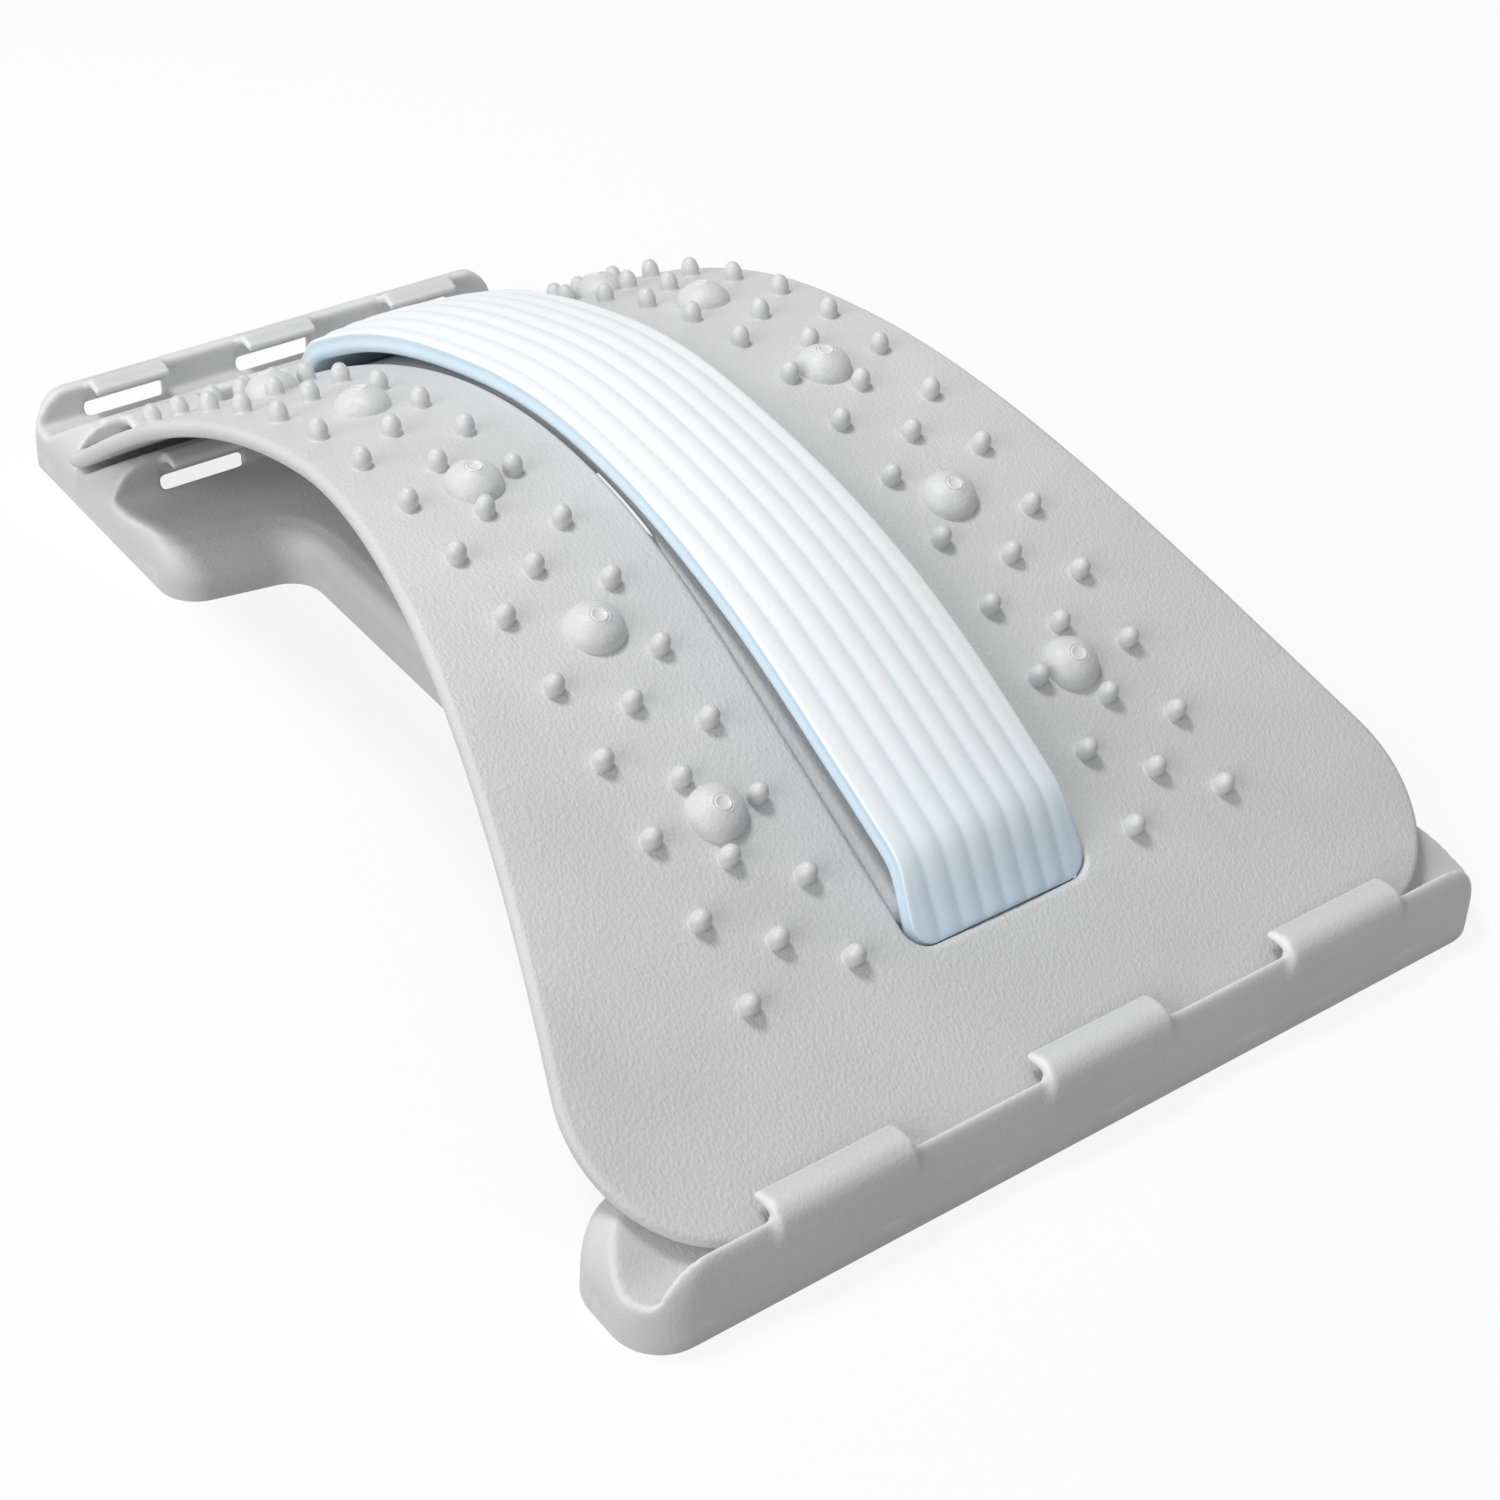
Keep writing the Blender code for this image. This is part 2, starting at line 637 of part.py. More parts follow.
def plan_edges(height, wall):
    """Right half plan from near to far: a point, the outward normal and the inset of each edge.

    Each row holds a point, the normal, the top of the shoulder, and its height and width.
    """
    slant = Vector((-FOOT_FACE_SLANT, 1.0)).normalized()
    rows = [
        (Vector((0.0, -BASE_HALF_LENGTH)), Vector((0, -1)), LIP_TOP, END_EDGE_ROUND, END_EDGE_ROUND),
        (Vector((NEAR_FOOT_HALF_WIDTH, 0.0)), Vector((1, 0)), CREST_TOP, NEAR_SHOULDER, NEAR_SHOULDER),
        (Vector((NEAR_FOOT_HALF_WIDTH, NEAR_FOOT_BACK_Y)), Vector((FOOT_FACE_SLANT, 1)).normalized(),
         CREST_TOP, NEAR_FACE_SHOULDER, NEAR_FACE_SHOULDER),
        (Vector((WEB_HALF_WIDTH, 0.0)), Vector((1, 0)), WEB_TOP, WEB_SHOULDER, WEB_SHOULDER),
        (Vector((FAR_FOOT_HALF_WIDTH, FAR_FOOT_FRONT_Y)), -slant,
         WEB_TOP, FAR_FACE_SHOULDER, FAR_FACE_SHOULDER),
        (Vector((FAR_FOOT_HALF_WIDTH, 0.0)), Vector((1, 0)),
         FAR_RIM_TOP, FAR_SHOULDER, FAR_SHOULDER_WIDTH),
        (Vector((0.0, BASE_HALF_LENGTH)), Vector((0, 1)), FAR_RIM_TOP, END_EDGE_ROUND, END_EDGE_ROUND),
    ]
    edges = []
    for point, normal, top, shoulder, width in rows:
        above = (height + wall - (top - shoulder)) / shoulder
        rounding = 0.0
        if above > 0.0:
            rounding = width * (1 - math.sqrt(max(1 - min(above, 1.0)**2, 0.0)))
        edges.append((point, normal, DRAFT * max(height, 0.0) + rounding + wall))
    return edges


def plan_outline(height, wall):
    """The base's plan at a height, with each edge moved in by its draft and shoulder."""
    edges = plan_edges(height, wall)
    radii = [FOOT_CORNER_RADIUS, FOOT_CORNER_RADIUS, -WEB_CORNER_RADIUS, -WEB_CORNER_RADIUS,
             FOOT_CORNER_RADIUS, FAR_END_CORNER_RADIUS]
    least_radius = 1.5 * MM
    corners = []
    for (p1, n1, d1), (p2, n2, d2), radius in zip(edges, edges[1:], radii):
        offset1, offset2 = n1.dot(p1) - d1, n2.dot(p2) - d2
        cross = n1.x * n2.y - n1.y * n2.x
        corner = ((offset1 * n2.y - offset2 * n1.y) / cross, (n1.x * offset2 - n2.x * offset1) / cross)
        inset = (d1 + d2) / 2
        corners.append((*corner, max(radius - inset, least_radius) if radius > 0 else -radius + inset))
    half = []
    before = (0.0, corners[0][1])
    for index, (x, y, radius) in enumerate(corners):
        after = corners[index + 1][:2] if index + 1 < len(corners) else (0.0, y)
        half.extend(fillet(before, (x, y), after, radius, 4))
        before = (x, y)
    return half + [(-x, y) for x, y in reversed(half)]


def make_envelope(name, heights, wall, collection):
    """Lofts the plan outlines at several heights into one closed body."""
    bm = bmesh.new()
    loops = []
    for height in heights:
        loops.append([bm.verts.new((x, y, height)) for x, y in plan_outline(height, wall)])
    for low, high in zip(loops, loops[1:]):
        for index in range(len(low)):
            after = (index + 1) % len(low)
            bm.faces.new((low[index], low[after], high[after], high[index]))
    bm.faces.new(list(reversed(loops[0])))
    bm.faces.new(loops[-1])
    return object_from_bmesh(bm, name, collection)


def base_top_line():
    """The top of the base from the near end to the far end, as (y, z) points."""
    ramp = (CREST_TOP - NEAR_FLOOR) / NEAR_RAMP_LENGTH
    soften = 1.5 * MM
    crest_end = CREST_Y + CREST_LENGTH
    slope_end = crest_end + 17.0 * MM
    line = [(-BASE_HALF_LENGTH - 6 * MM, LIP_TOP), (NEAR_WALL_Y - 0.5 * MM, LIP_TOP),
            (NEAR_WALL_Y, LIP_TOP - 0.5 * MM), (NEAR_WALL_Y, NEAR_FLOOR + 1.0 * MM),
            (NEAR_WALL_Y + 1.0 * MM, NEAR_FLOOR), (NEAR_FLOOR_END - soften, NEAR_FLOOR),
            (NEAR_FLOOR_END + soften, NEAR_FLOOR + soften * ramp),
            (CREST_Y - soften, CREST_TOP - soften * ramp), (CREST_Y + 0.5 * soften, CREST_TOP),
            (crest_end, CREST_TOP), (crest_end + 4 * MM, CREST_TOP - 1.2 * MM),
            (slope_end - 5 * MM, WEB_TOP + 1.2 * MM), (slope_end, WEB_TOP)]
    line += [(ROW3_WALL_Y - 16.0 * MM, WEB_TOP), (ROW3_WALL_Y - 12.0 * MM, WEB_TOP - 1.0 * MM),
             (ROW3_WALL_Y - 7.0 * MM, ROW_FLOOR), (ROW3_WALL_Y, ROW_FLOOR)]
    for row, rim in enumerate((ROW_RIM_TOP, ROW_RIM_TOP, FAR_RIM_TOP)):
        wall = ROW3_WALL_Y + row * ROW_PITCH
        line += [(wall, rim - 0.8 * MM), (wall + 0.8 * MM, rim)]
        if row < 2:
            line += [(wall + BASE_WALL, rim), (wall + ROW_PITCH - ROW_FLOOR_LENGTH, ROW_FLOOR)]
            line.append((wall + ROW_PITCH, ROW_FLOOR))
    line.append((BASE_HALF_LENGTH + 4.0 * MM, FAR_RIM_TOP))
    return line


def hollow_top_line():
    """The underside of the shell's top, from the near end to the far end, as (y, z) points."""
    slanted = 1.15 * BASE_WALL
    crest_end = CREST_Y + CREST_LENGTH
    line = [(-BASE_HALF_LENGTH - 6 * MM, NEAR_FLOOR - BASE_WALL), (NEAR_FLOOR_END, NEAR_FLOOR - BASE_WALL),
            (CREST_Y + 1.0 * MM, CREST_TOP - slanted), (crest_end, CREST_TOP - slanted),
            (crest_end + 16.0 * MM, WEB_TOP - BASE_WALL), (ROW3_WALL_Y - 15.0 * MM, WEB_TOP - BASE_WALL),
            (ROW3_WALL_Y - 8.0 * MM, ROW_FLOOR - BASE_WALL)]
    fall = (ROW_RIM_TOP - ROW_FLOOR) / (ROW_PITCH - ROW_FLOOR_LENGTH - BASE_WALL)
    thick = BASE_WALL * math.hypot(1.0, fall)
    for row in range(2):
        back = ROW3_WALL_Y + row * ROW_PITCH + BASE_WALL
        line += [(back, ROW_FLOOR - BASE_WALL), (back, ROW_RIM_TOP - thick),
                 (back + (ROW_RIM_TOP - ROW_FLOOR - thick + BASE_WALL) / fall, ROW_FLOOR - BASE_WALL)]
    line.append((BASE_HALF_LENGTH + 4.0 * MM, ROW_FLOOR - BASE_WALL))
    return line


def under_line(line, bottom):
    return [(line[0][0], bottom)] + line + [(line[-1][0], bottom)]


def tab_section(wall_y, inward, rim):
    """A hook in Y and Z: it grows out of the wall's top and rolls over towards the board."""
    def point(out, z):
        return (wall_y + inward * out, z)
    free_top = rim - 0.6 * MM
    free_low = free_top - TAB_THICKNESS
    root_back = -BASE_WALL + 0.4 * MM
    outline = [point(-0.6 * MM, free_low - 2.5 * MM), point(root_back, free_low - 2.5 * MM),
               point(root_back, rim - 1.6 * MM), point(-1.0 * MM, rim + 0.1 * MM),
               point(1.0 * MM, rim + 0.7 * MM), point(3.4 * MM, rim + 0.4 * MM),
               point(TAB_REACH - 0.6 * MM, free_top), point(TAB_REACH, free_top - 0.5 * MM),
               point(TAB_REACH, free_low), point(3.0 * MM, free_low + 0.4 * MM),
               point(1.0 * MM, free_low + 0.1 * MM), point(0.0, free_low - 1.2 * MM)]
    return outline if inward > 0 else outline[::-1]


def join_solids(name, solids, collection):
    """One object of several separate bodies, for a cutter or an addition."""
    bm = bmesh.new()
    for solid in solids:
        bm.from_mesh(solid.data)
        bpy.data.objects.remove(solid, do_unlink=True)
    joined = object_from_bmesh(bm, name, collection)
    hide_as_cutter(joined)
    return joined


def make_tabs(cutters):
    tabs = []
    near = tab_section(NEAR_WALL_Y, 1.0, LIP_TOP + NEAR_TAB_RISE)
    for low, high in NEAR_TAB_SPANS:
        tabs.append(section_solid("near_tab", near, low, high, cutters))
    for row in range(3):
        far = tab_section(ROW3_WALL_Y + row * ROW_PITCH, -1.0, ROW_RIM_TOP + FAR_TAB_RISE)
        for low, high in FAR_TAB_SPANS:
            tabs.append(section_solid("far_tab", far, low, high, cutters))
    return join_solids("hook_tabs", tabs, cutters)


def make_box(name, low, high, collection):
    bm = bmesh.new()
    bmesh.ops.create_cube(bm, size=1.0)
    size = Vector(high) - Vector(low)
    middle = (Vector(high) + Vector(low)) / 2
    bmesh.ops.scale(bm, vec=size, verts=bm.verts)
    bmesh.ops.translate(bm, vec=middle, verts=bm.verts)
    return object_from_bmesh(bm, name, collection)


def make_windows(cutters):
    """Openings under every hook, which let the mould reach the hook's underside."""
    windows = []
    side_clear = 0.5 * MM
    for row in range(3):
        wall = ROW3_WALL_Y + row * ROW_PITCH
        depth = BASE_WALL + 1.5 * MM if row < 2 else BASE_HALF_LENGTH + CUT_OVER - wall
        for low, high in FAR_TAB_SPANS:
            front = (low - WINDOW_SIDE, wall - 0.2 * MM, WINDOW_SILL)
            back = (high + WINDOW_SIDE, wall + depth, WINDOW_HEAD)
            windows.append(make_box("window", front, back, cutters))
    for low, high in NEAR_TAB_SPANS:
        start = NEAR_WALL_Y + 0.8 * MM
        front = (low + side_clear, start, NEAR_FLOOR - 3 * BASE_WALL)
        back = (high - side_clear, start + NEAR_WINDOW_WIDTH, NEAR_FLOOR + 2 * MM)
        windows.append(make_box("window", front, back, cutters))
    return join_solids("mould_windows", windows, cutters)


def make_ribs(cutters):
    """Stiffening ribs inside the shell: two lengthwise, and cross ribs along the web."""
    top = FAR_RIM_TOP + CUT_OVER
    half = RIB_WALL / 2
    ribs = []
    for x in (-LONG_RIB_X, LONG_RIB_X):
        low = (x - half, -BASE_HALF_LENGTH - 5 * MM, WEB_RIB_DROP)
        ribs.append(make_box("rib", low, (x + half, BASE_HALF_LENGTH + 5 * MM, top), cutters))
    first, last = NEAR_FOOT_BACK_Y + 12.0 * MM, FAR_FOOT_FRONT_Y
    count = round((last - first) / WEB_RIB_PITCH)
    for index in range(count + 1):
        y = first + (last - first) * index / count
        low = (-NEAR_FOOT_HALF_WIDTH, y - half, WEB_RIB_DROP - 0.6 * MM)
        ribs.append(make_box("rib", low, (NEAR_FOOT_HALF_WIDTH, y + half, top), cutters))
    return ribs


def make_base(parts, cutters, material):
    shares = (0.38, 0.5, 0.62, 0.72, 0.8, 0.865, 0.912, 0.953, 1.0)
    shoulder_heights = [FAR_RIM_TOP * share for share in shares]
    outer_heights = [0.0] + shoulder_heights + [FAR_RIM_TOP + 3.0 * MM]
    inner_heights = [-CUT_OVER] + [height - BASE_WALL for height in shoulder_heights] + [FAR_RIM_TOP]
    base = make_envelope("base", outer_heights, 0.0, parts)
    far_out = NEAR_FOOT_HALF_WIDTH + 10 * MM
    skin = section_solid("base_section", under_line(base_top_line(), -CUT_OVER), -far_out, far_out, cutters)
    hollow = make_envelope("base_hollow", inner_heights, BASE_WALL, cutters)
    under_top = under_line(hollow_top_line(), -2 * CUT_OVER)
    under = section_solid("hollow_section", under_top, -far_out, far_out, cutters)
    for cutter in (skin, hollow, under):
        hide_as_cutter(cutter)
    add_boolean(hollow, under, "INTERSECT")
    for rib in make_ribs(cutters):
        hide_as_cutter(rib)
        add_boolean(hollow, rib, "DIFFERENCE")
    add_boolean(base, skin, "INTERSECT")
    add_boolean(base, hollow, "DIFFERENCE")
    add_boolean(base, make_tabs(cutters), "UNION")
    add_boolean(base, make_windows(cutters), "DIFFERENCE")
    finish_part(base, material)
    return base


def main():
    clear_scene()
    parts = new_collection("back_stretcher")
    cutters = new_collection("cutters")
    make_base(parts, cutters, new_material("base_plastic", BASE_GREY, 0.55))
    make_board(parts, cutters, new_material("board_plastic", PLASTIC_GREY, 0.6))
    make_cushion(parts, new_material("cushion_foam", CUSHION_BLUE, 0.7))
    make_carrier(parts, new_material("carrier_plastic", CARRIER_GREY, 0.5))
    make_magnets(parts, new_material("magnet_enamel", MAGNET_GREY, 0.15))


main()
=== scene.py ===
# %% [markdown]
# # A back stretcher, dressed and lit
#
# The real object is a sprung plastic board. It is moulded flat and bent into an arch when its two
# ends are hooked into a low base. The board carries rows of massage bumps, ten domes with a magnet
# cap each, and a ribbed foam cushion for the spine.
#
# The measured solids come first, as a fixed frame. Every piece made below sits on that frame and
# rides on one of its two bodies, so the board can still slide out of the base.

# %% Load the measured solids
import math
from functools import partial

import bmesh
import bpy
import numpy as np
from mathutils import Matrix, Vector


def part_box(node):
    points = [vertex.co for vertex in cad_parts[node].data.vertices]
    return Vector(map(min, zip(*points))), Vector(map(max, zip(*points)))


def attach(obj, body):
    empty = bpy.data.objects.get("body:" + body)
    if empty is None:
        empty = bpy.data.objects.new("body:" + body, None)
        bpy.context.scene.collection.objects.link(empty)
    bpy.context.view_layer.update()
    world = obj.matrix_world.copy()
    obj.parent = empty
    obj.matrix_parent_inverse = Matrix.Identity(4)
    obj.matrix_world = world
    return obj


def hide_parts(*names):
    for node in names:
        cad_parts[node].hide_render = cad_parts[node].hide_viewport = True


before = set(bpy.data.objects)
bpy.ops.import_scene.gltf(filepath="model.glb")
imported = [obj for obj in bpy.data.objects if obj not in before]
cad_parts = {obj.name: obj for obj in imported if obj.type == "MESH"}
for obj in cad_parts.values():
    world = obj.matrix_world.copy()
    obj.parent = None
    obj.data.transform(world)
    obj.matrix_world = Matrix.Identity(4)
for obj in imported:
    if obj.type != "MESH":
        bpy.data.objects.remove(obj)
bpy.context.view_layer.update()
MM = 0.001

# %% [markdown]
# ## Sizes
#
# The sizes are those of the solids, in millimetres times MM. The base's length comes
# from the frame, and the arch starts and ends at the hook walls, so both follow the solids.

# %% Sizes of the arch and the board
board_low, board_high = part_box("arch_board")
BASE_HALF_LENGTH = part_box("base")[1].y
ROW_PITCH = 24.0 * MM
GAP = 0.35 * MM
NEAR_WALL_Y = 4.05 * MM - BASE_HALF_LENGTH
FAR_WALL_Y = BASE_HALF_LENGTH - 4.85 * MM

BOARD_THICKNESS = 4.5 * MM
NEAR_END_Y, NEAR_END_Z, NEAR_SLOPE = NEAR_WALL_Y + GAP, 15.6 * MM, 0.57
APEX_Y, APEX_Z = -2.0 * MM, 90.2 * MM
FAR_END_Y, FAR_END_Z, FAR_SLOPE = FAR_WALL_Y - ROW_PITCH - GAP, 15.7 * MM, -0.784
FAR_PROP_RISE, FAR_PROP_LENGTH = 2.2 * MM, 12.0 * MM

HIP_HALF_WIDTH, WAIST_HALF_WIDTH = 118.5 * MM, 79.5 * MM
TAPER_END, TAPER_POWER = 222.0 * MM, 1.5
HIP_CORNER_WIDTH, HIP_CORNER_LENGTH, HIP_CORNER_TURN = 30.5 * MM, 34.0 * MM, 19.0
FAR_CORNER_RADIUS = 2.8 * MM
EDGE_ROUND = 2.05 * MM

SLOT_NEAR_HALF_WIDTH, SLOT_FAR_HALF_WIDTH = 25.6 * MM, 22.4 * MM
SLOT_TAPER_START, SLOT_TAPER_END = 80.0 * MM, 190.0 * MM
SLOT_END_MARGIN, SLOT_CORNER_RADIUS = 40.0 * MM, 6.0 * MM
print("board box:", [round(v / MM, 1) for v in board_high - board_low], "mm")

# %% [markdown]
# ## The line of the arch
#
# A sheet that is bent between two walls takes a smooth line with its own slope at each end. Two
# cubic pieces that meet level at the top give that line. The last 12 mm at the far end level out,
# because the trough's floor props the sheet up there. The line is kept as a curve object, because
# Geometry Nodes can read a curve at any distance along it.

# %% Arch line
def cubic(t, z0, slope0, z1, slope1, span):
    height = (2 * t**3 - 3 * t**2 + 1) * z0 + (3 * t**2 - 2 * t**3) * z1
    return height + ((t**3 - 2 * t**2 + t) * slope0 + (t**3 - t**2) * slope1) * span


def arch_z(y):
    if y < APEX_Y:
        span = APEX_Y - NEAR_END_Y
        return cubic((y - NEAR_END_Y) / span, NEAR_END_Z, NEAR_SLOPE, APEX_Z, 0.0, span)
    span = FAR_END_Y - APEX_Y
    propped = FAR_PROP_RISE * max((y - FAR_END_Y) / FAR_PROP_LENGTH + 1.0, 0.0)**3
    return cubic((y - APEX_Y) / span, APEX_Z, 0.0, FAR_END_Z, FAR_SLOPE, span) + propped


def evenly(start, end, steps):
    """Values from start to end, in equal steps."""
    return [start + (end - start) * step / steps for step in range(steps + 1)]


def new_object(name, data):
    obj = bpy.data.objects.new(name, data)
    bpy.context.scene.collection.objects.link(obj)
    return obj


def line_curve(name, loops, closed):
    """Straight lines through the places: closed and flat, or open in space."""
    curve = bpy.data.curves.new(name, "CURVE")
    curve.dimensions = "2D" if closed else "3D"
    for loop in loops:
        spline = curve.splines.new("POLY")
        spline.points.add(len(loop) - 1)
        for point, place in zip(spline.points, loop):
            point.co = (*Vector(place).to_3d(), 1.0)
        spline.use_cyclic_u = closed
    return curve


ARCH_STEPS = 600
arch_points = [Vector((0.0, y, arch_z(y))) for y in evenly(NEAR_END_Y, FAR_END_Y, ARCH_STEPS)]
BOARD_LENGTH = sum((b - a).length for a, b in zip(arch_points, arch_points[1:]))
arch_line = new_object("arch_line", line_curve("arch_line", [arch_points], False))
print("board length along the arch:", round(BOARD_LENGTH / MM, 1), "mm")

# %% [markdown]
# ## Small helpers
#
# One function adds any node, sets its properties and fills or links its inputs. The same one
# serves Geometry Nodes here and the materials further down.

# %% Node helpers
def fill_inputs(node, inputs):
    """Gives each input a value or a link. A node given here stands for its first output."""
    for key, value in inputs.items():
        if isinstance(value, bpy.types.Node):
            value = value.outputs[0]
        if isinstance(value, bpy.types.NodeSocket):
            node.id_data.links.new(value, node.inputs[key])
        else:
            node.inputs[key].default_value = value


def add_node(tree, kind, inputs=None, **settings):
    node = tree.nodes.new(kind)
    for name, value in settings.items():
        setattr(node, name, value)
    fill_inputs(node, inputs or {})
    return node


def new_geometry_tree(name, sizes):
    """A tree with a geometry input and one named input for each size, its start, and its add_node."""
    tree = bpy.data.node_groups.new(name, "GeometryNodeTree")
    tree.interface.new_socket("Geometry", in_out="INPUT", socket_type="NodeSocketGeometry")
    for label, kind in sizes + [("Material", "Material")]:
        tree.interface.new_socket(label, in_out="INPUT", socket_type="NodeSocket" + kind)
    tree.interface.new_socket("Geometry", in_out="OUTPUT", socket_type="NodeSocketGeometry")
    return tree, add_node(tree, "NodeGroupInput"), partial(add_node, tree)


def close_tree(tree, start, geometry):
    """Every tree ends alike: real geometry, with its material."""
    real = add_node(tree, "GeometryNodeRealizeInstances", {"Geometry": geometry})
    painted = add_node(
        tree, "GeometryNodeSetMaterial", {"Geometry": real, "Material": start.outputs["Material"]})
    add_node(tree, "NodeGroupOutput", {"Geometry": painted})


def run_tree(obj, tree, **values):
    """Adds the tree as a modifier and sets its inputs, found by the names of its sockets."""
    modifier = obj.modifiers.new(tree.name, "NODES")
    modifier.node_group = tree
    for item in tree.interface.items_tree:
        label = item.name.replace(" ", "_").lower()
        if item.in_out == "INPUT" and label in values:
            modifier[item.identifier] = values[label]


# %% Mesh helpers
WELD = 0.002 * MM
CUT_SLACK = 0.001 * MM


def mesh_object(name, bm):
    mesh = bpy.data.meshes.new(name)
    bm.to_mesh(mesh)
    bm.free()
    return new_object(name, mesh)


def make_plain(obj):
    """Replaces an object by a plain mesh of what its modifiers or its curve give."""
    graph = bpy.context.evaluated_depsgraph_get()
    graph.update()
    mesh = bpy.data.meshes.new_from_object(obj.evaluated_get(graph), depsgraph=graph)
    mesh.name = name = obj.name
    bpy.data.objects.remove(obj, do_unlink=True)
    return new_object(name, mesh)


def skinned(name, rings):
    """Joins rings of places, all with the same count, into one closed body that faces outwards."""
    bm = bmesh.new()
    loops = [[bm.verts.new(place) for place in ring] for ring in rings]
    for first, second in zip(loops, loops[1:]):
        for index in range(len(first)):
            after = (index + 1) % len(first)
            bm.faces.new((first[index], first[after], second[after], second[index]))
    bm.faces.new(loops[0])
    bm.faces.new(list(reversed(loops[-1])))
    bmesh.ops.recalc_face_normals(bm, faces=bm.faces)
    return mesh_object(name, bm)


def smooth_step(value):
    share = min(max(value, 0.0), 1.0)
    return share * share * (3 - 2 * share)


def fillet(before, corner, after, radius, steps):
    """Points of the arc that rounds one corner of an outline."""
    corner = Vector(corner)
    to_before = (Vector(before) - corner).normalized()
    to_after = (Vector(after) - corner).normalized()
    half = to_before.angle(to_after) / 2
    start = corner + to_before * (radius / math.tan(half))
    end = corner + to_after * (radius / math.tan(half))
    centre = corner + (to_before + to_after).normalized() * (radius / math.sin(half))
    sweep = (start - centre).angle_signed(end - centre)
    points = []
    for step in range(steps + 1):
        arm = start - centre
        arm.rotate(Matrix.Rotation(-sweep * step / steps, 2))
        points.append(tuple(centre + arm))
    return points


def mirrored(half):
    """The right half of an outline and its mirror image."""
    return half + [(-x, y) for x, y in reversed(half)]


def flat_plate(name, loops, thickness, rounding=0.0, roundness=0):
    """A plate filled between closed outlines. The second outline is a hole, wound the other way."""
    curve = line_curve(name, loops, True)
    curve.fill_mode, curve.offset = "BOTH", -rounding
    curve.extrude = thickness / 2 - rounding
    curve.bevel_depth, curve.bevel_resolution = rounding, roundness
    plate = make_plain(new_object(name, curve))
    bm = bmesh.new()
    bm.from_mesh(plate.data)
    bmesh.ops.remove_doubles(bm, verts=bm.verts, dist=WELD)
    bm.to_mesh(plate.data)
    bm.free()
    return plate


def cut_across(obj, places, direction):
    """Cuts a flat mesh at each place along a direction, so that it can bend there."""
    bm = bmesh.new()
    bm.from_mesh(obj.data)
    for place in places:
        bmesh.ops.bisect_plane(bm, geom=bm.verts[:] + bm.edges[:] + bm.faces[:], dist=CUT_SLACK,
                               plane_co=direction * place, plane_no=direction)
    bm.to_mesh(obj.data)
    bm.free()


# %% [markdown]
# ## Colours and finishes
#
# Colours are written as sRGB hex, as a picture shows them, and one function turns them into the
# linear values that shaders need. Grain and pores are worked out in millimetres.

# %% Colour and material helpers
def srgb(code):
    """A hex colour as linear red, green, blue and alpha."""
    shown = [int(code[index:index + 2], 16) / 255 for index in (1, 3, 5)]
    return (*[v / 12.92 if v <= 0.04045 else ((v + 0.055) / 1.055) ** 2.4 for v in shown], 1.0)


def new_material(name, **sockets):
    """A Principled material whose plain numbers sit on the shader's own sockets."""
    material = bpy.data.materials.new(name)
    material.use_nodes = True
    tree = material.node_tree
    tree.nodes.clear()
    shader = add_node(tree, "ShaderNodeBsdfPrincipled",
                      {label.replace("_", " "): value for label, value in sockets.items()})
    add_node(tree, "ShaderNodeOutputMaterial", {"Surface": shader})
    return material, shader, partial(add_node, tree)


def per_metre(millimetres):
    """The Scale of a texture whose features are this wide."""
    return 1.0 / (millimetres * MM)


# %% [markdown]
# ### Moulded polypropylene with a leather grain
#
# Both big mouldings come from a tool whose surface was etched with a fine leather grain: soft
# little cushions three quarters of a millimetre across, parted by shallow creases. The light
# catches their edges and takes the gloss away. A cell pattern makes the creases, a noise makes the
# cushions uneven, and both only tilt the surface, so that the outline stays clean. Crests that
# stand out from what is round them are painted a little paler, a painted highlight along the round edges.

# %% Grained plastic
PLASTIC_IOR = 1.49
GRAIN_CELL, GRAIN_FINE, GRAIN_WARP, CLOUD = 0.75, 0.7, 2.6, 45.0
WARP_REACH = 0.9 * MM
# Colour of the painted highlight on the crests of the mouldings.
PAINTED_EDGE_HIGHLIGHT = "#E6E6E6"


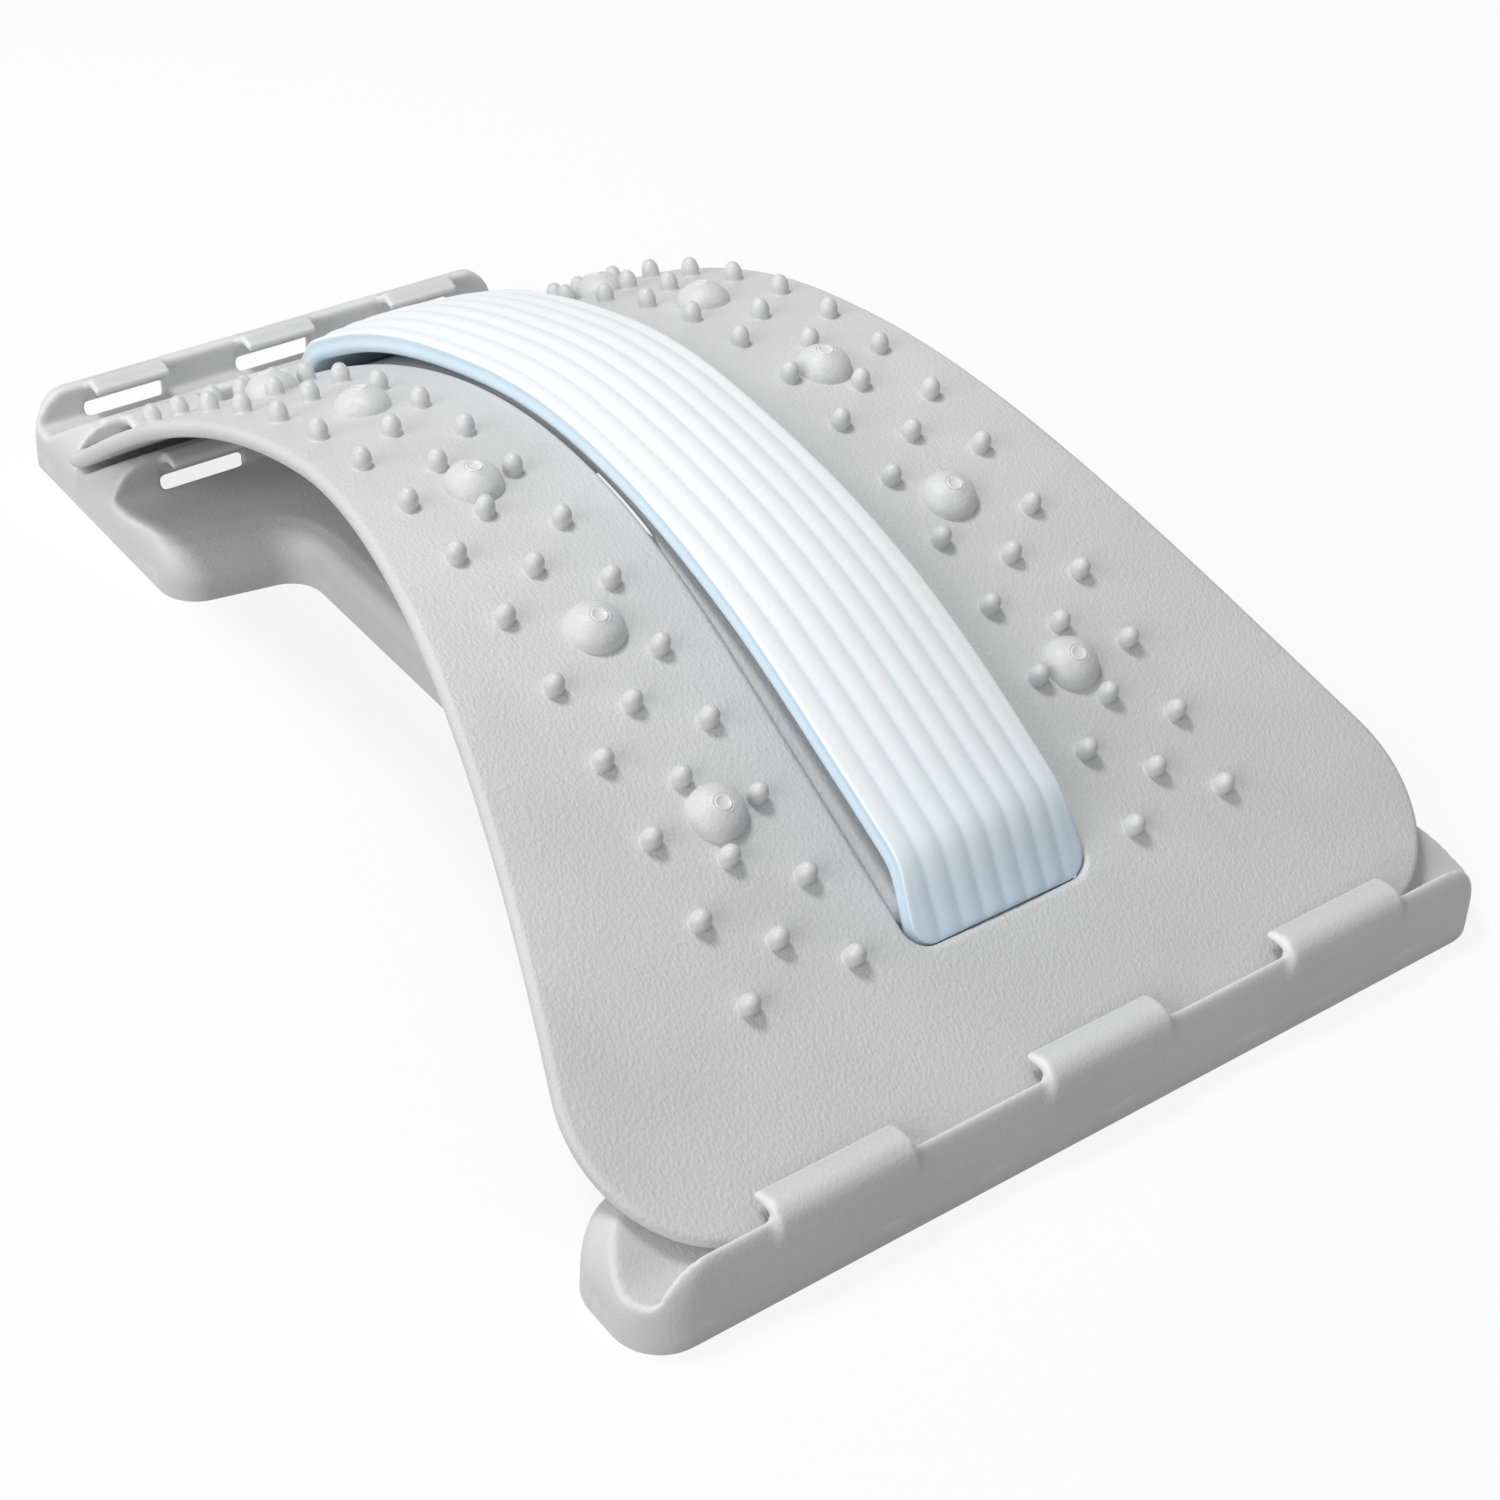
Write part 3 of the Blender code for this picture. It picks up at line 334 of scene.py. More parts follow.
def grained_plastic(name, pale, deep, stretch, depth, roughness, follows_sheet):
    """stretch draws the cells out along the object, and depth is the grain's, in millimetres."""
    material, shader, add = new_material(name, Roughness=roughness, IOR=PLASTIC_IOR)
    if follows_sheet:
        place = add("ShaderNodeAttribute", attribute_name="flat_place").outputs["Vector"]
    else:
        place = add("ShaderNodeTexCoord").outputs["Object"]
    drawn = add("ShaderNodeMapping", {"Vector": place, "Scale": (1.0, 1.0 / stretch, 1.0)})
    warp = add("ShaderNodeTexNoise",
               {"Vector": drawn, "Scale": per_metre(GRAIN_WARP), "Detail": 2.0, "Roughness": 0.6})
    shifted = add("ShaderNodeMixRGB", {0: WARP_REACH, 1: drawn, 2: warp.outputs["Color"]}, blend_type="ADD")
    cells = add("ShaderNodeTexVoronoi", {"Vector": shifted, "Scale": per_metre(GRAIN_CELL)},
                feature="SMOOTH_F1")
    fine = add("ShaderNodeTexNoise",
               {"Vector": drawn, "Scale": per_metre(GRAIN_FINE), "Detail": 3.0, "Roughness": 0.65})
    cloud = add("ShaderNodeTexNoise", {"Vector": place, "Scale": per_metre(CLOUD), "Detail": 3.0})
    relief = add("ShaderNodeMath", {0: fine, 1: 0.55, 2: cells}, operation="MULTIPLY_ADD")
    bump = add("ShaderNodeBump", {"Height": relief, "Strength": 1.0, "Distance": depth * MM})
    speck = add("ShaderNodeMath", {0: fine, 1: 0.5, 2: cloud}, operation="MULTIPLY_ADD")
    tint = add("ShaderNodeValToRGB", {"Fac": speck})
    for stop, position, code in zip(tint.color_ramp.elements, (0.45, 0.90), (deep, pale)):
        stop.position, stop.color = position, srgb(code)
    # The crest mark paints a highlight: round edges are made paler in the colour.
    crest = add("ShaderNodeAttribute", attribute_name="crest").outputs["Fac"]
    painted_edge_highlight = add("ShaderNodeMixRGB", {0: crest, 1: tint, 2: srgb(PAINTED_EDGE_HIGHLIGHT)})
    shine = add("ShaderNodeMapRange", {"Value": relief, "From Min": 0.2, "From Max": 1.2,
                                       "To Min": roughness + 0.08, "To Max": roughness - 0.06})
    fill_inputs(shader, {"Base Color": painted_edge_highlight, "Roughness": shine, "Normal": bump})
    return material


board_plastic = grained_plastic("moulded polypropylene board", "#D7D7D7", "#CDCDCD", 1.4, 0.15, 0.50, True)
base_plastic = grained_plastic("moulded polypropylene base", "#D4D4D4", "#CBCBCB", 1.2, 0.08, 0.48, False)
print("plastics:", board_plastic.name, "and", base_plastic.name)

# %% [markdown]
# ### Bumps, domes and caps
#
# The bumps come out of deep round pockets in the tool, which are polished and not etched, so they
# are smoother than the board. The domes are finely matt. The caps are coated magnets with a hard
# gloss. One noise gives each of them its faint unevenness.

# %% Smooth plastic and caps
def satin_plastic(name, pale, deep, roughness, pore, depth):
    """pore and depth are the width and the height of the unevenness, in millimetres."""
    material, shader, add = new_material(name, Roughness=roughness, IOR=PLASTIC_IOR)
    place = add("ShaderNodeTexCoord").outputs["Object"]
    fine = add("ShaderNodeTexNoise", {"Vector": place, "Scale": per_metre(pore), "Detail": 3.0})
    bump = add("ShaderNodeBump", {"Height": fine, "Strength": 1.0, "Distance": depth * MM})
    tint = add("ShaderNodeValToRGB", {"Fac": fine})
    for stop, position, code in zip(tint.color_ramp.elements, (0.3, 0.7), (deep, pale)):
        stop.position, stop.color = position, srgb(code)
    fill_inputs(shader, {"Base Color": tint, "Normal": bump})
    return material


bump_plastic = satin_plastic("polished pocket polypropylene", "#D8D8D8", "#D2D2D2", 0.36, 1.2, 0.03)
dome_plastic = satin_plastic("fine matt polypropylene", "#DCDCDC", "#D4D4D4", 0.46, 0.85, 0.16)
cap_coat = satin_plastic("coated magnet", "#E6E6E6", "#DEDEDE", 0.10, 1.5, 0.01)
print("finishes:", bump_plastic.name, dome_plastic.name, cap_coat.name)

# %% [markdown]
# ### Moulded foam rubber
#
# The cushion is pale blue, satin, a little soft to light, and has the faintest pores. Its colour is
# painted near white on top of the arch, as painted light, and bluer towards its low ends, in its grooves and on
# its sides, as painted shade.

# %% Foam
FOAM_PORE, FOAM_PORE_DEPTH, FOAM_GLOW = 0.9, 0.035 * MM, 2.0 * MM
# Heights between which the colour goes from painted shade, bluer, to painted light, near white.
PAINTED_SHADE_BELOW, PAINTED_LIGHT_ABOVE = 26.0 * MM, 68.0 * MM
GROOVE_SHADE_SHARE = 0.3
foam, foam_shader, add = new_material("moulded foam rubber", Roughness=0.48, IOR=1.45,
                                      Subsurface_Weight=0.12, Subsurface_Scale=FOAM_GLOW)
place = add("ShaderNodeTexCoord").outputs["Object"]
pores = add("ShaderNodeTexNoise",
            {"Vector": place, "Scale": per_metre(FOAM_PORE), "Detail": 4.0, "Roughness": 0.6})
foam_bump = add("ShaderNodeBump", {"Height": pores, "Strength": 1.0, "Distance": FOAM_PORE_DEPTH})
height = add("ShaderNodeSeparateXYZ", {0: place}).outputs["Z"]
# Painted light and shade by height: the pale blue foam is painted near white high on the arch and bluer low
# down.
high = add("ShaderNodeMapRange", {"Value": height, "From Min": PAINTED_SHADE_BELOW, "From Max": PAINTED_LIGHT_ABOVE},
           interpolation_type="SMOOTHSTEP")
height_painted_light = add("ShaderNodeMixRGB", {0: high, 1: srgb("#CFEAFF"), 2: srgb("#F7FAFC")})
# Painted shade on the side walls, which face away from the light.
side_shade_mark = add("ShaderNodeAttribute", attribute_name="side").outputs["Fac"]
side_painted_shade = add("ShaderNodeMixRGB", {0: side_shade_mark, 1: height_painted_light, 2: srgb("#D4E7F4")})
# Painted shade in the grooves.
groove_shade_mark = add("ShaderNodeAttribute", attribute_name="groove").outputs["Fac"]
groove_painted_shade = add("ShaderNodeMath", {0: groove_shade_mark, 1: GROOVE_SHADE_SHARE}, operation="MULTIPLY")
foam_blue_and_painted_shade = add("ShaderNodeMixRGB", {0: groove_painted_shade, 1: side_painted_shade, 2: srgb("#CDE3F1")})
fill_inputs(foam_shader, {"Base Color": foam_blue_and_painted_shade, "Normal": foam_bump})
print("finishes made:", len(bpy.data.materials))

# %% [markdown]
# ## Laying flat pieces on the arch
#
# The board is moulded flat, so it is drawn flat here too: X across, Y along the board, and Z up
# from its top face. A node tree then reads the arch at each point's Y and moves the point there.
# Everything that the board carries goes through the same tree, so nothing can come loose from it.
# The tree also notes each point's flat place, so that a grain can follow the sheet round the bend.

# %% Tree that lays a flat piece on the arch
lay_tree, start, add = new_geometry_tree("lay_on_arch", [("Arch", "Object")])
line = add("GeometryNodeObjectInfo", {"Object": start.outputs["Arch"]}, transform_space="ORIGINAL")
position = add("GeometryNodeInputPosition")
flat_place = add("ShaderNodeSeparateXYZ", {0: position})
along = add("GeometryNodeSampleCurve", {"Curves": line.outputs["Geometry"], "Length": flat_place.outputs["Y"]},
            mode="LENGTH", use_all_curves=True)
upright = add("ShaderNodeVectorMath", {0: (1.0, 0.0, 0.0), 1: along.outputs["Tangent"]},
              operation="CROSS_PRODUCT")
raised = add("ShaderNodeVectorMath", {0: upright, "Scale": flat_place.outputs["Z"]}, operation="SCALE")
across = add("ShaderNodeCombineXYZ", {"X": flat_place.outputs["X"]})
laid = along.outputs["Position"]
for shift in (across, raised):
    laid = add("ShaderNodeVectorMath", {0: laid, 1: shift}, operation="ADD")
noted = add("GeometryNodeStoreNamedAttribute",
            {"Geometry": start.outputs["Geometry"], "Name": "flat_place", "Value": position},
            data_type="FLOAT_VECTOR", domain="POINT")
close_tree(lay_tree, start, add("GeometryNodeSetPosition", {"Geometry": noted, "Position": laid}))
print("tree:", lay_tree.name, len(lay_tree.nodes), "nodes")

# %% [markdown]
# ## The arched board
#
# Its outline is one closed line with an oval corner at each hip and a soft taper to the waist, and
# the slot is a second line inside it. A filled curve with a round bevel gives the plate its full,
# soft edge. Cuts every few millimetres let it bend without showing flats.

# %% Board outlines
def hip_corner_point(turn):
    angle = math.radians(turn)
    return (HIP_HALF_WIDTH - HIP_CORNER_WIDTH * (1 - math.cos(angle)),
            HIP_CORNER_LENGTH * (1 + math.sin(angle)))


def board_half_width(run):
    start_x, start_run = hip_corner_point(HIP_CORNER_TURN)
    share = min(max((TAPER_END - run) / (TAPER_END - start_run), 0.0), 1.0)
    return WAIST_HALF_WIDTH + (start_x - WAIST_HALF_WIDTH) * share**TAPER_POWER


def slot_half_width(run):
    share = smooth_step((run - SLOT_TAPER_START) / (SLOT_TAPER_END - SLOT_TAPER_START))
    return SLOT_NEAR_HALF_WIDTH + (SLOT_FAR_HALF_WIDTH - SLOT_NEAR_HALF_WIDTH) * share


CORNER_STEPS, TAPER_STEPS, FAR_CORNER_STEPS, SLOT_CORNER_STEPS, SLOT_TAPER_STEPS = 28, 40, 6, 12, 30
board_half = [hip_corner_point(turn) for turn in evenly(-90.0, HIP_CORNER_TURN, CORNER_STEPS)]
board_half += [(board_half_width(run), run) for run in evenly(board_half[-1][1], TAPER_END, TAPER_STEPS)[1:]]
board_half += fillet((WAIST_HALF_WIDTH, 0.0), (WAIST_HALF_WIDTH, BOARD_LENGTH), (0.0, BOARD_LENGTH),
                     FAR_CORNER_RADIUS, FAR_CORNER_STEPS)

slot_near, slot_far = SLOT_END_MARGIN, BOARD_LENGTH - SLOT_END_MARGIN
slot_half = fillet((0.0, slot_near), (SLOT_NEAR_HALF_WIDTH, slot_near), (SLOT_NEAR_HALF_WIDTH, slot_far),
                   SLOT_CORNER_RADIUS, SLOT_CORNER_STEPS)
slot_half += [(slot_half_width(run), run)
              for run in evenly(SLOT_TAPER_START, SLOT_TAPER_END, SLOT_TAPER_STEPS)]
slot_half += fillet((SLOT_FAR_HALF_WIDTH, 0.0), (SLOT_FAR_HALF_WIDTH, slot_far), (0.0, slot_far),
                    SLOT_CORNER_RADIUS, SLOT_CORNER_STEPS)
print("outline points:", len(mirrored(board_half)), "and", len(mirrored(slot_half)))

# %% Board plate, cut and laid on the arch
BEND_PITCH, SIDE_PITCH, SIDE_CUTS, EDGE_STEPS = 3.5 * MM, 12.0 * MM, 9, 5
board = flat_plate("board_sheet", [mirrored(board_half), mirrored(slot_half)], BOARD_THICKNESS,
                   EDGE_ROUND, EDGE_STEPS)
board.data.transform(Matrix.Translation((0.0, 0.0, -BOARD_THICKNESS / 2)))
bend_cuts = [BEND_PITCH * (0.5 + step) for step in range(int(BOARD_LENGTH / BEND_PITCH))]
side_cuts = [SIDE_PITCH * step for step in range(1, SIDE_CUTS + 1)]
cut_across(board, bend_cuts, Vector((0, 1, 0)))
cut_across(board, [-place for place in side_cuts] + [0.0] + side_cuts, Vector((1, 0, 0)))
run_tree(board, lay_tree, arch=arch_line, material=board_plastic)
board = make_plain(board)
board.data.shade_smooth()
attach(board, "board_body")
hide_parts("arch_board")
print("board faces:", len(board.data.polygons))

# %% [markdown]
# ## Rows of bumps
#
# A massage bump is the blunt half of a small egg that stands straight on the board. One bump is
# turned from a profile and a tree sets a copy of it on every place of a pattern. The copies are
# then laid on the arch, so each of them leans with the board under it.

# %% One turned body
TURN_WELD = 0.003 * MM


def turned(name, profile, steps):
    """Spins (radius, height) points round Z, from the axis below to the axis above."""
    bm = bmesh.new()
    points = [bm.verts.new((radius, 0.0, height)) for radius, height in profile]
    edges = [bm.edges.new(pair) for pair in zip(points, points[1:])]
    bmesh.ops.spin(bm, geom=points + edges, cent=(0, 0, 0), axis=(0, 0, 1), angle=2 * math.pi, steps=steps)
    bmesh.ops.remove_doubles(bm, verts=bm.verts, dist=TURN_WELD)
    bmesh.ops.recalc_face_normals(bm, faces=bm.faces)
    return mesh_object(name, bm)


BUMP_RADIUS, BUMP_HEIGHT, BUMP_SIDES = 2.45 * MM, 5.2 * MM, 16
bump_shape = ((0.0, -0.16), (1.06, -0.16), (1.03, -0.005), (0.965, 0.03), (0.955, 0.11), (0.99, 0.24),
              (1.0, 0.36), (0.97, 0.5), (0.89, 0.65), (0.75, 0.79), (0.55, 0.905), (0.29, 0.98), (0.0, 1.0))
bump_profile = [(radius * BUMP_RADIUS, height * BUMP_HEIGHT) for radius, height in bump_shape]
one_bump = turned("one_bump", bump_profile, BUMP_SIDES)
print("one bump:", len(one_bump.data.polygons), "faces")

# %% Places of the bumps and the domes
FIRST_ROW, HALF_ROW, ROW_COUNT = 44.8 * MM, 10.43 * MM, 15
COLUMN_MIDDLE, COLUMN_SPACING = 54.75 * MM, 14.1 * MM
DOME_HALF_ROWS = (4, 9, 14, 19, 24)
DOME_COLUMN = COLUMN_MIDDLE - 3.5 * MM


def pattern_place(x, half_row):
    return (x, FIRST_ROW + half_row * HALF_ROW, 0.0)


bump_places, dome_places = [], []
for side in (-1, 1):
    outer, inner = side * (COLUMN_MIDDLE + COLUMN_SPACING), side * (COLUMN_MIDDLE - COLUMN_SPACING)
    bump_places += [pattern_place(x, 2 * row) for row in range(ROW_COUNT) for x in (outer, inner)]
    bump_places += [pattern_place(side * COLUMN_MIDDLE, half_row)
                    for half_row in range(1, 2 * ROW_COUNT - 1, 2) if half_row not in DOME_HALF_ROWS]
    dome_places += [pattern_place(side * DOME_COLUMN, half_row) for half_row in DOME_HALF_ROWS]
print("bumps:", len(bump_places), "domes:", len(dome_places))

# %% Tree that sets a copy on every place
scatter_tree, start, add = new_geometry_tree("set_on_places", [("Copy", "Object")])
copy = add("GeometryNodeObjectInfo", {"Object": start.outputs["Copy"]}, transform_space="ORIGINAL")
close_tree(scatter_tree, start, add(
    "GeometryNodeInstanceOnPoints",
    {"Points": start.outputs["Geometry"], "Instance": copy.outputs["Geometry"]}))


def scatter_on_arch(name, one, places, material):
    """Copies one flat-standing piece to all places of the board and bends the lot with it."""
    bm = bmesh.new()
    for place in places:
        bm.verts.new(place)
    piece = mesh_object(name, bm)
    run_tree(piece, scatter_tree, copy=one, material=material)
    run_tree(piece, lay_tree, arch=arch_line, material=material)
    piece = make_plain(piece)
    piece.data.shade_smooth()
    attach(piece, "board_body")
    return piece


bumps = scatter_on_arch("massage_bumps", one_bump, bump_places, bump_plastic)
print("bump faces:", len(bumps.data.polygons))

# %% [markdown]
# ## Domes and their magnet caps
#
# Each dome is a low cushion of plastic with a magnet pressed into its top. A fine lip stands round
# the magnet, and both are modelled, because the light catches the lip and the magnet's round rim.
# The cap is a separate piece with a hard gloss, a little dished.

# %% Domes
DOME_RADIUS, DOME_HEIGHT, DOME_SIDES = 7.2 * MM, 5.7 * MM, 40
LIP_RADIUS = 2.5 * MM
dome_foot = ((0.05, -0.9), (0.03, 0.0), (-0.06, 0.16))
dome_lip = ((2.62, 0.02), (2.5, 0.1), (2.34, 0.11), (2.22, 0.06), (2.12, -0.06), (2.08, -0.6), (0.0, -0.6))
cup = DOME_HEIGHT * math.sqrt(1 - (LIP_RADIUS / DOME_RADIUS)**2)
dome_profile = [(0.0, -0.9 * MM)] + [(DOME_RADIUS + out * MM, rise * MM) for out, rise in dome_foot]
for degrees in range(7, 68, 6):
    climb = math.radians(degrees)
    dome_profile.append((DOME_RADIUS * math.cos(climb), DOME_HEIGHT * math.sin(climb)))
dome_profile += [(radius * MM, cup + rise * MM) for radius, rise in dome_lip]
one_dome = turned("one_dome", dome_profile, DOME_SIDES)
domes = scatter_on_arch("domes", one_dome, dome_places, dome_plastic)
print("dome faces:", len(domes.data.polygons))

# %% Caps
CAP_RADIUS, CAP_SIDES = 2.0 * MM, 32
crown = cup + 0.2 * MM
cap_rim = ((0.14, -1.2), (0.14, -0.2), (0.08, -0.02), (-0.05, 0.09), (-0.22, 0.12), (-0.4, 0.08),
           (-0.6, -0.03), (-0.85, -0.13), (-1.2, -0.19))
cap_profile = [(CAP_RADIUS + out * MM, crown + rise * MM) for out, rise in cap_rim]
cap_profile = [(0.0, crown - 1.2 * MM)] + cap_profile + [(0.0, crown - 0.2 * MM)]
one_cap = turned("one_cap", cap_profile, CAP_SIDES)
caps = scatter_on_arch("magnet_caps", one_cap, dome_places, cap_coat)
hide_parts(*[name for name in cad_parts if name.startswith("dome_magnet")])
print("cap faces:", len(caps.data.polygons))

# %% [markdown]
# ## The spine cushion
#
# The cushion is one strip of moulded foam. Its crown is low, its side walls pull in a little at
# half height, and eight soft ribs run along it. It stands a little off the board towards both
# ends, and each end curls down into the slot. It is drawn flat, a tree presses the ribs into its
# top, and it is then laid on the arch. Foam that is moulded to shape doesn't bulge like a stuffed
# pad, so no cloth simulation is needed.

# %% Cushion sizes
CUSHION_THICKNESS, CUSHION_CROWN = 7.9 * MM, 1.9 * MM
CUSHION_NOSE, CUSHION_END_HEIGHT, CUSHION_CORNER = 9.0 * MM, 0.72, 6.0 * MM
LIFT_NEAR, LIFT_MIDDLE, LIFT_FAR = 2.9 * MM, -0.45 * MM, 2.6 * MM
NEAR_FADE, FAR_FADE = (112.0 * MM, 78.0 * MM), (235.0 * MM, 70.0 * MM)
NEAR_CURL, FAR_CURL, NEAR_DIP, FAR_DIP = 21.0 * MM, 16.0 * MM, 4.1 * MM, 0.8 * MM
RIB_COUNT, RIB_DEPTH = 8, 0.4 * MM
CUSHION_HALF_WIDTH = SLOT_NEAR_HALF_WIDTH - 0.45 * MM
CUSHION_ASIDE, ASIDE_END, ASIDE_FADE = 0.35 * MM, 145.0 * MM, 50.0 * MM
# Gap between the slot and the foam's side, in millimetres, at distances along the board. It is
# below zero where the foam lies over the edge.
SIDE_GAPS = ((40.0, 0.3), (45.0, 0.4), (58.0, 1.6), (97.0, 1.0), (145.0, 0.15), (190.0, -0.15), (230.0, -0.4),
             (300.0, -0.4), (345.0, 0.3))


def cushion_lift(run):
    """Height of the underside over the board's top face."""
    near_share = smooth_step(1 - (run - NEAR_FADE[0]) / NEAR_FADE[1])
    far_share = smooth_step((run - FAR_FADE[0]) / FAR_FADE[1])
    height = LIFT_MIDDLE + (LIFT_NEAR - LIFT_MIDDLE) * near_share + (LIFT_FAR - LIFT_MIDDLE) * far_share
    height -= (BOARD_THICKNESS + NEAR_DIP) * smooth_step(1 - (run - slot_near) / NEAR_CURL)
    return height - (BOARD_THICKNESS + FAR_DIP) * smooth_step(1 - (slot_far - run) / FAR_CURL)


def side_gap(run):
    return float(np.interp(run / MM, *zip(*SIDE_GAPS))) * MM


print("underside over the board at its middle:", round(cushion_lift(BOARD_LENGTH / 2) / MM, 2), "mm")

# %% Cushion body
TOP_STEPS, END_STEPS, SPAN_STEPS = 48, 12, 96
TOP_EDGE, EDGE_DROP = 1.6 * MM, 0.06
side_height = CUSHION_THICKNESS - CUSHION_CROWN
side_shape = ((0.0, 0.0), (0.5, 0.0), (0.9, 0.0), (0.955, 0.05), (0.985, 0.16), (1.005, 0.3), (1.0, 0.45),
              (0.985, 0.6), (0.982, 0.75), (0.988, 0.88))
half_section = [(x * CUSHION_HALF_WIDTH, z * side_height) for x, z in side_shape]
for x in evenly(CUSHION_HALF_WIDTH * 0.985, 0.0, TOP_STEPS):
    edge = 1 - (1 - min((CUSHION_HALF_WIDTH - x) / TOP_EDGE, 1.0))**2
    crown_height = CUSHION_CROWN * (1 - (x / CUSHION_HALF_WIDTH)**2)
    half_section.append((x, side_height * (1 - EDGE_DROP + EDGE_DROP * edge) + crown_height))
section = half_section + [(-x, z) for x, z in reversed(half_section[1:-1])]

cushion_start, cushion_end = slot_near + 0.1 * MM, slot_far - 0.1 * MM
nose = [CUSHION_NOSE * (step / END_STEPS)**1.5 for step in range(END_STEPS)]
stations = [cushion_start + inset for inset in nose]
stations += evenly(cushion_start + CUSHION_NOSE, cushion_end - CUSHION_NOSE, SPAN_STEPS)
stations += [cushion_end - inset for inset in reversed(nose)]


def cushion_ring(run):
    """The section at a place along the board, lower and narrower in the rounded ends."""
    inset = min(run - cushion_start, cushion_end - run)
    short = 1 - min(inset / CUSHION_NOSE, 1.0)
    full = CUSHION_END_HEIGHT + (1 - CUSHION_END_HEIGHT) * math.sqrt(max(1 - short * short, 0.0))
    corner = max(1 - inset / CUSHION_CORNER, 0.0)
    rounding = CUSHION_CORNER * (1 - math.sqrt(1 - corner * corner))
    narrow = (slot_half_width(run) - side_gap(run) - rounding) / CUSHION_HALF_WIDTH
    aside = CUSHION_ASIDE * smooth_step((ASIDE_END - run) / ASIDE_FADE)
    lift = cushion_lift(run)
    return [(x * narrow + aside, run, z * full + lift) for x, z in section]


cushion = skinned("ribbed_cushion", [cushion_ring(run) for run in stations])
print("cushion stations:", len(stations), "points round:", len(section))

# %% Tree that presses the ribs
rib_tree, start, add = new_geometry_tree(
    "press_ribs", [("Rib count", "Float"), ("Rib depth", "Float"), ("Half width", "Float")])
where = add("ShaderNodeSeparateXYZ", {0: add("GeometryNodeInputPosition")})
facing = add("ShaderNodeSeparateXYZ", {0: add("GeometryNodeInputNormal")})
share = add("ShaderNodeMath", {0: where.outputs["X"], 1: start.outputs["Half width"]}, operation="DIVIDE")
inside = add("ShaderNodeMath", {0: share}, operation="ABSOLUTE")
count_half = add("ShaderNodeMath", {0: start.outputs["Rib count"], 1: 0.5}, operation="MULTIPLY")
arc = share
for operation, other in (("MULTIPLY", count_half), ("MULTIPLY", math.pi), ("SINE", 0.0), ("ABSOLUTE", 0.0)):
    arc = add("ShaderNodeMath", {0: arc, 1: other}, operation=operation)
fade = add("ShaderNodeMapRange",
           {"Value": inside, "From Min": 0.86, "From Max": 0.95, "To Min": 1.0, "To Max": 0.0})
upper = add("ShaderNodeMapRange",
            {"Value": facing.outputs["Z"], "From Min": 0.25, "From Max": 0.6, "To Min": 0.0, "To Max": 1.0})
groove = add("ShaderNodeMath", {0: 1.0, 1: arc}, operation="SUBTRACT")
wall = add("ShaderNodeMath", {0: 1.0, 1: upper}, operation="SUBTRACT")
for share_left in (fade, upper):
    groove = add("ShaderNodeMath", {0: groove, 1: share_left}, operation="MULTIPLY")
down = groove
for factor in (start.outputs["Rib depth"], -1.0):
    down = add("ShaderNodeMath", {0: down, 1: factor}, operation="MULTIPLY")
# The groove and side marks are stored for the foam's painted shade: darker in the grooves and on the walls that
# face sideways and down.
marked = start.outputs["Geometry"]
for label, value in (("groove", groove), ("side", wall)):
    marked = add("GeometryNodeStoreNamedAttribute", {"Geometry": marked, "Name": label, "Value": value},
                 data_type="FLOAT", domain="POINT")
shift = add("ShaderNodeCombineXYZ", {"Z": down})
close_tree(rib_tree, start, add("GeometryNodeSetPosition", {"Geometry": marked, "Offset": shift}))
print("tree:", rib_tree.name, len(rib_tree.nodes), "nodes")

# %% Cushion finished
run_tree(cushion, rib_tree, rib_count=float(RIB_COUNT), rib_depth=RIB_DEPTH,
         half_width=CUSHION_HALF_WIDTH * 0.96, material=foam)
run_tree(cushion, lay_tree, arch=arch_line, material=foam)
rounder = cushion.modifiers.new("rounder", "SUBSURF")
rounder.levels = rounder.render_levels = 1
cushion = make_plain(cushion)
cushion.data.shade_smooth()
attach(cushion, "board_body")
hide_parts("spine_cushion")
print("cushion faces:", len(cushion.data.polygons))

# %% [markdown]
# ## The strip under the cushion
#
# A springy strip of the same grained plastic fills the slot and carries the foam. It lies just
# below the board's face, dives under the board at both ends, and is narrower beyond the middle of
# the arch, where a sliver of daylight shows beside it. It follows the foam's underside, which the
# plain solid doesn't, so it is made anew here.

# %% Carrier strip
STRIP_SINK, STRIP_THICKNESS, STRIP_TONGUE, TONGUE_HALF_WIDTH = 1.7 * MM, 1.8 * MM, 8.0 * MM, 17.0 * MM
UNDER_BOARD, UNDER_FOAM, DIVE_LENGTH, WIDEN_LENGTH = 0.35 * MM, 0.15 * MM, 9.0 * MM, 7.0 * MM
STRIP_GAP, SLIVER_GAP = 0.3 * MM, 1.7 * MM
SLIVER_START, SLIVER_END = (152.0 * MM, 10.0 * MM), (250.0 * MM, 20.0 * MM)
STRIP_STEPS, STRIP_COLUMNS = 150, 8


def strip_ring(run):
    """The strip's section: its top row from left to right, then its underside back again."""
    inset = min(run - slot_near, slot_far - run)
    dive = BOARD_THICKNESS + UNDER_BOARD
    top = -dive + (dive - STRIP_SINK) * smooth_step(inset / DIVE_LENGTH)
    top = min(top, cushion_lift(max(min(run, slot_far), slot_near)) - UNDER_FOAM)
    sliver = smooth_step((run - SLIVER_START[0]) / SLIVER_START[1])
    sliver *= smooth_step((SLIVER_END[0] - run) / SLIVER_END[1])
    in_slot = slot_half_width(run) - STRIP_GAP - SLIVER_GAP * sliver
    half = TONGUE_HALF_WIDTH + (in_slot - TONGUE_HALF_WIDTH) * smooth_step(inset / WIDEN_LENGTH - 0.3)
    row = evenly(-half, half, STRIP_COLUMNS)
    return [(x, run, top) for x in row] + [(x, run, top - STRIP_THICKNESS) for x in reversed(row)]


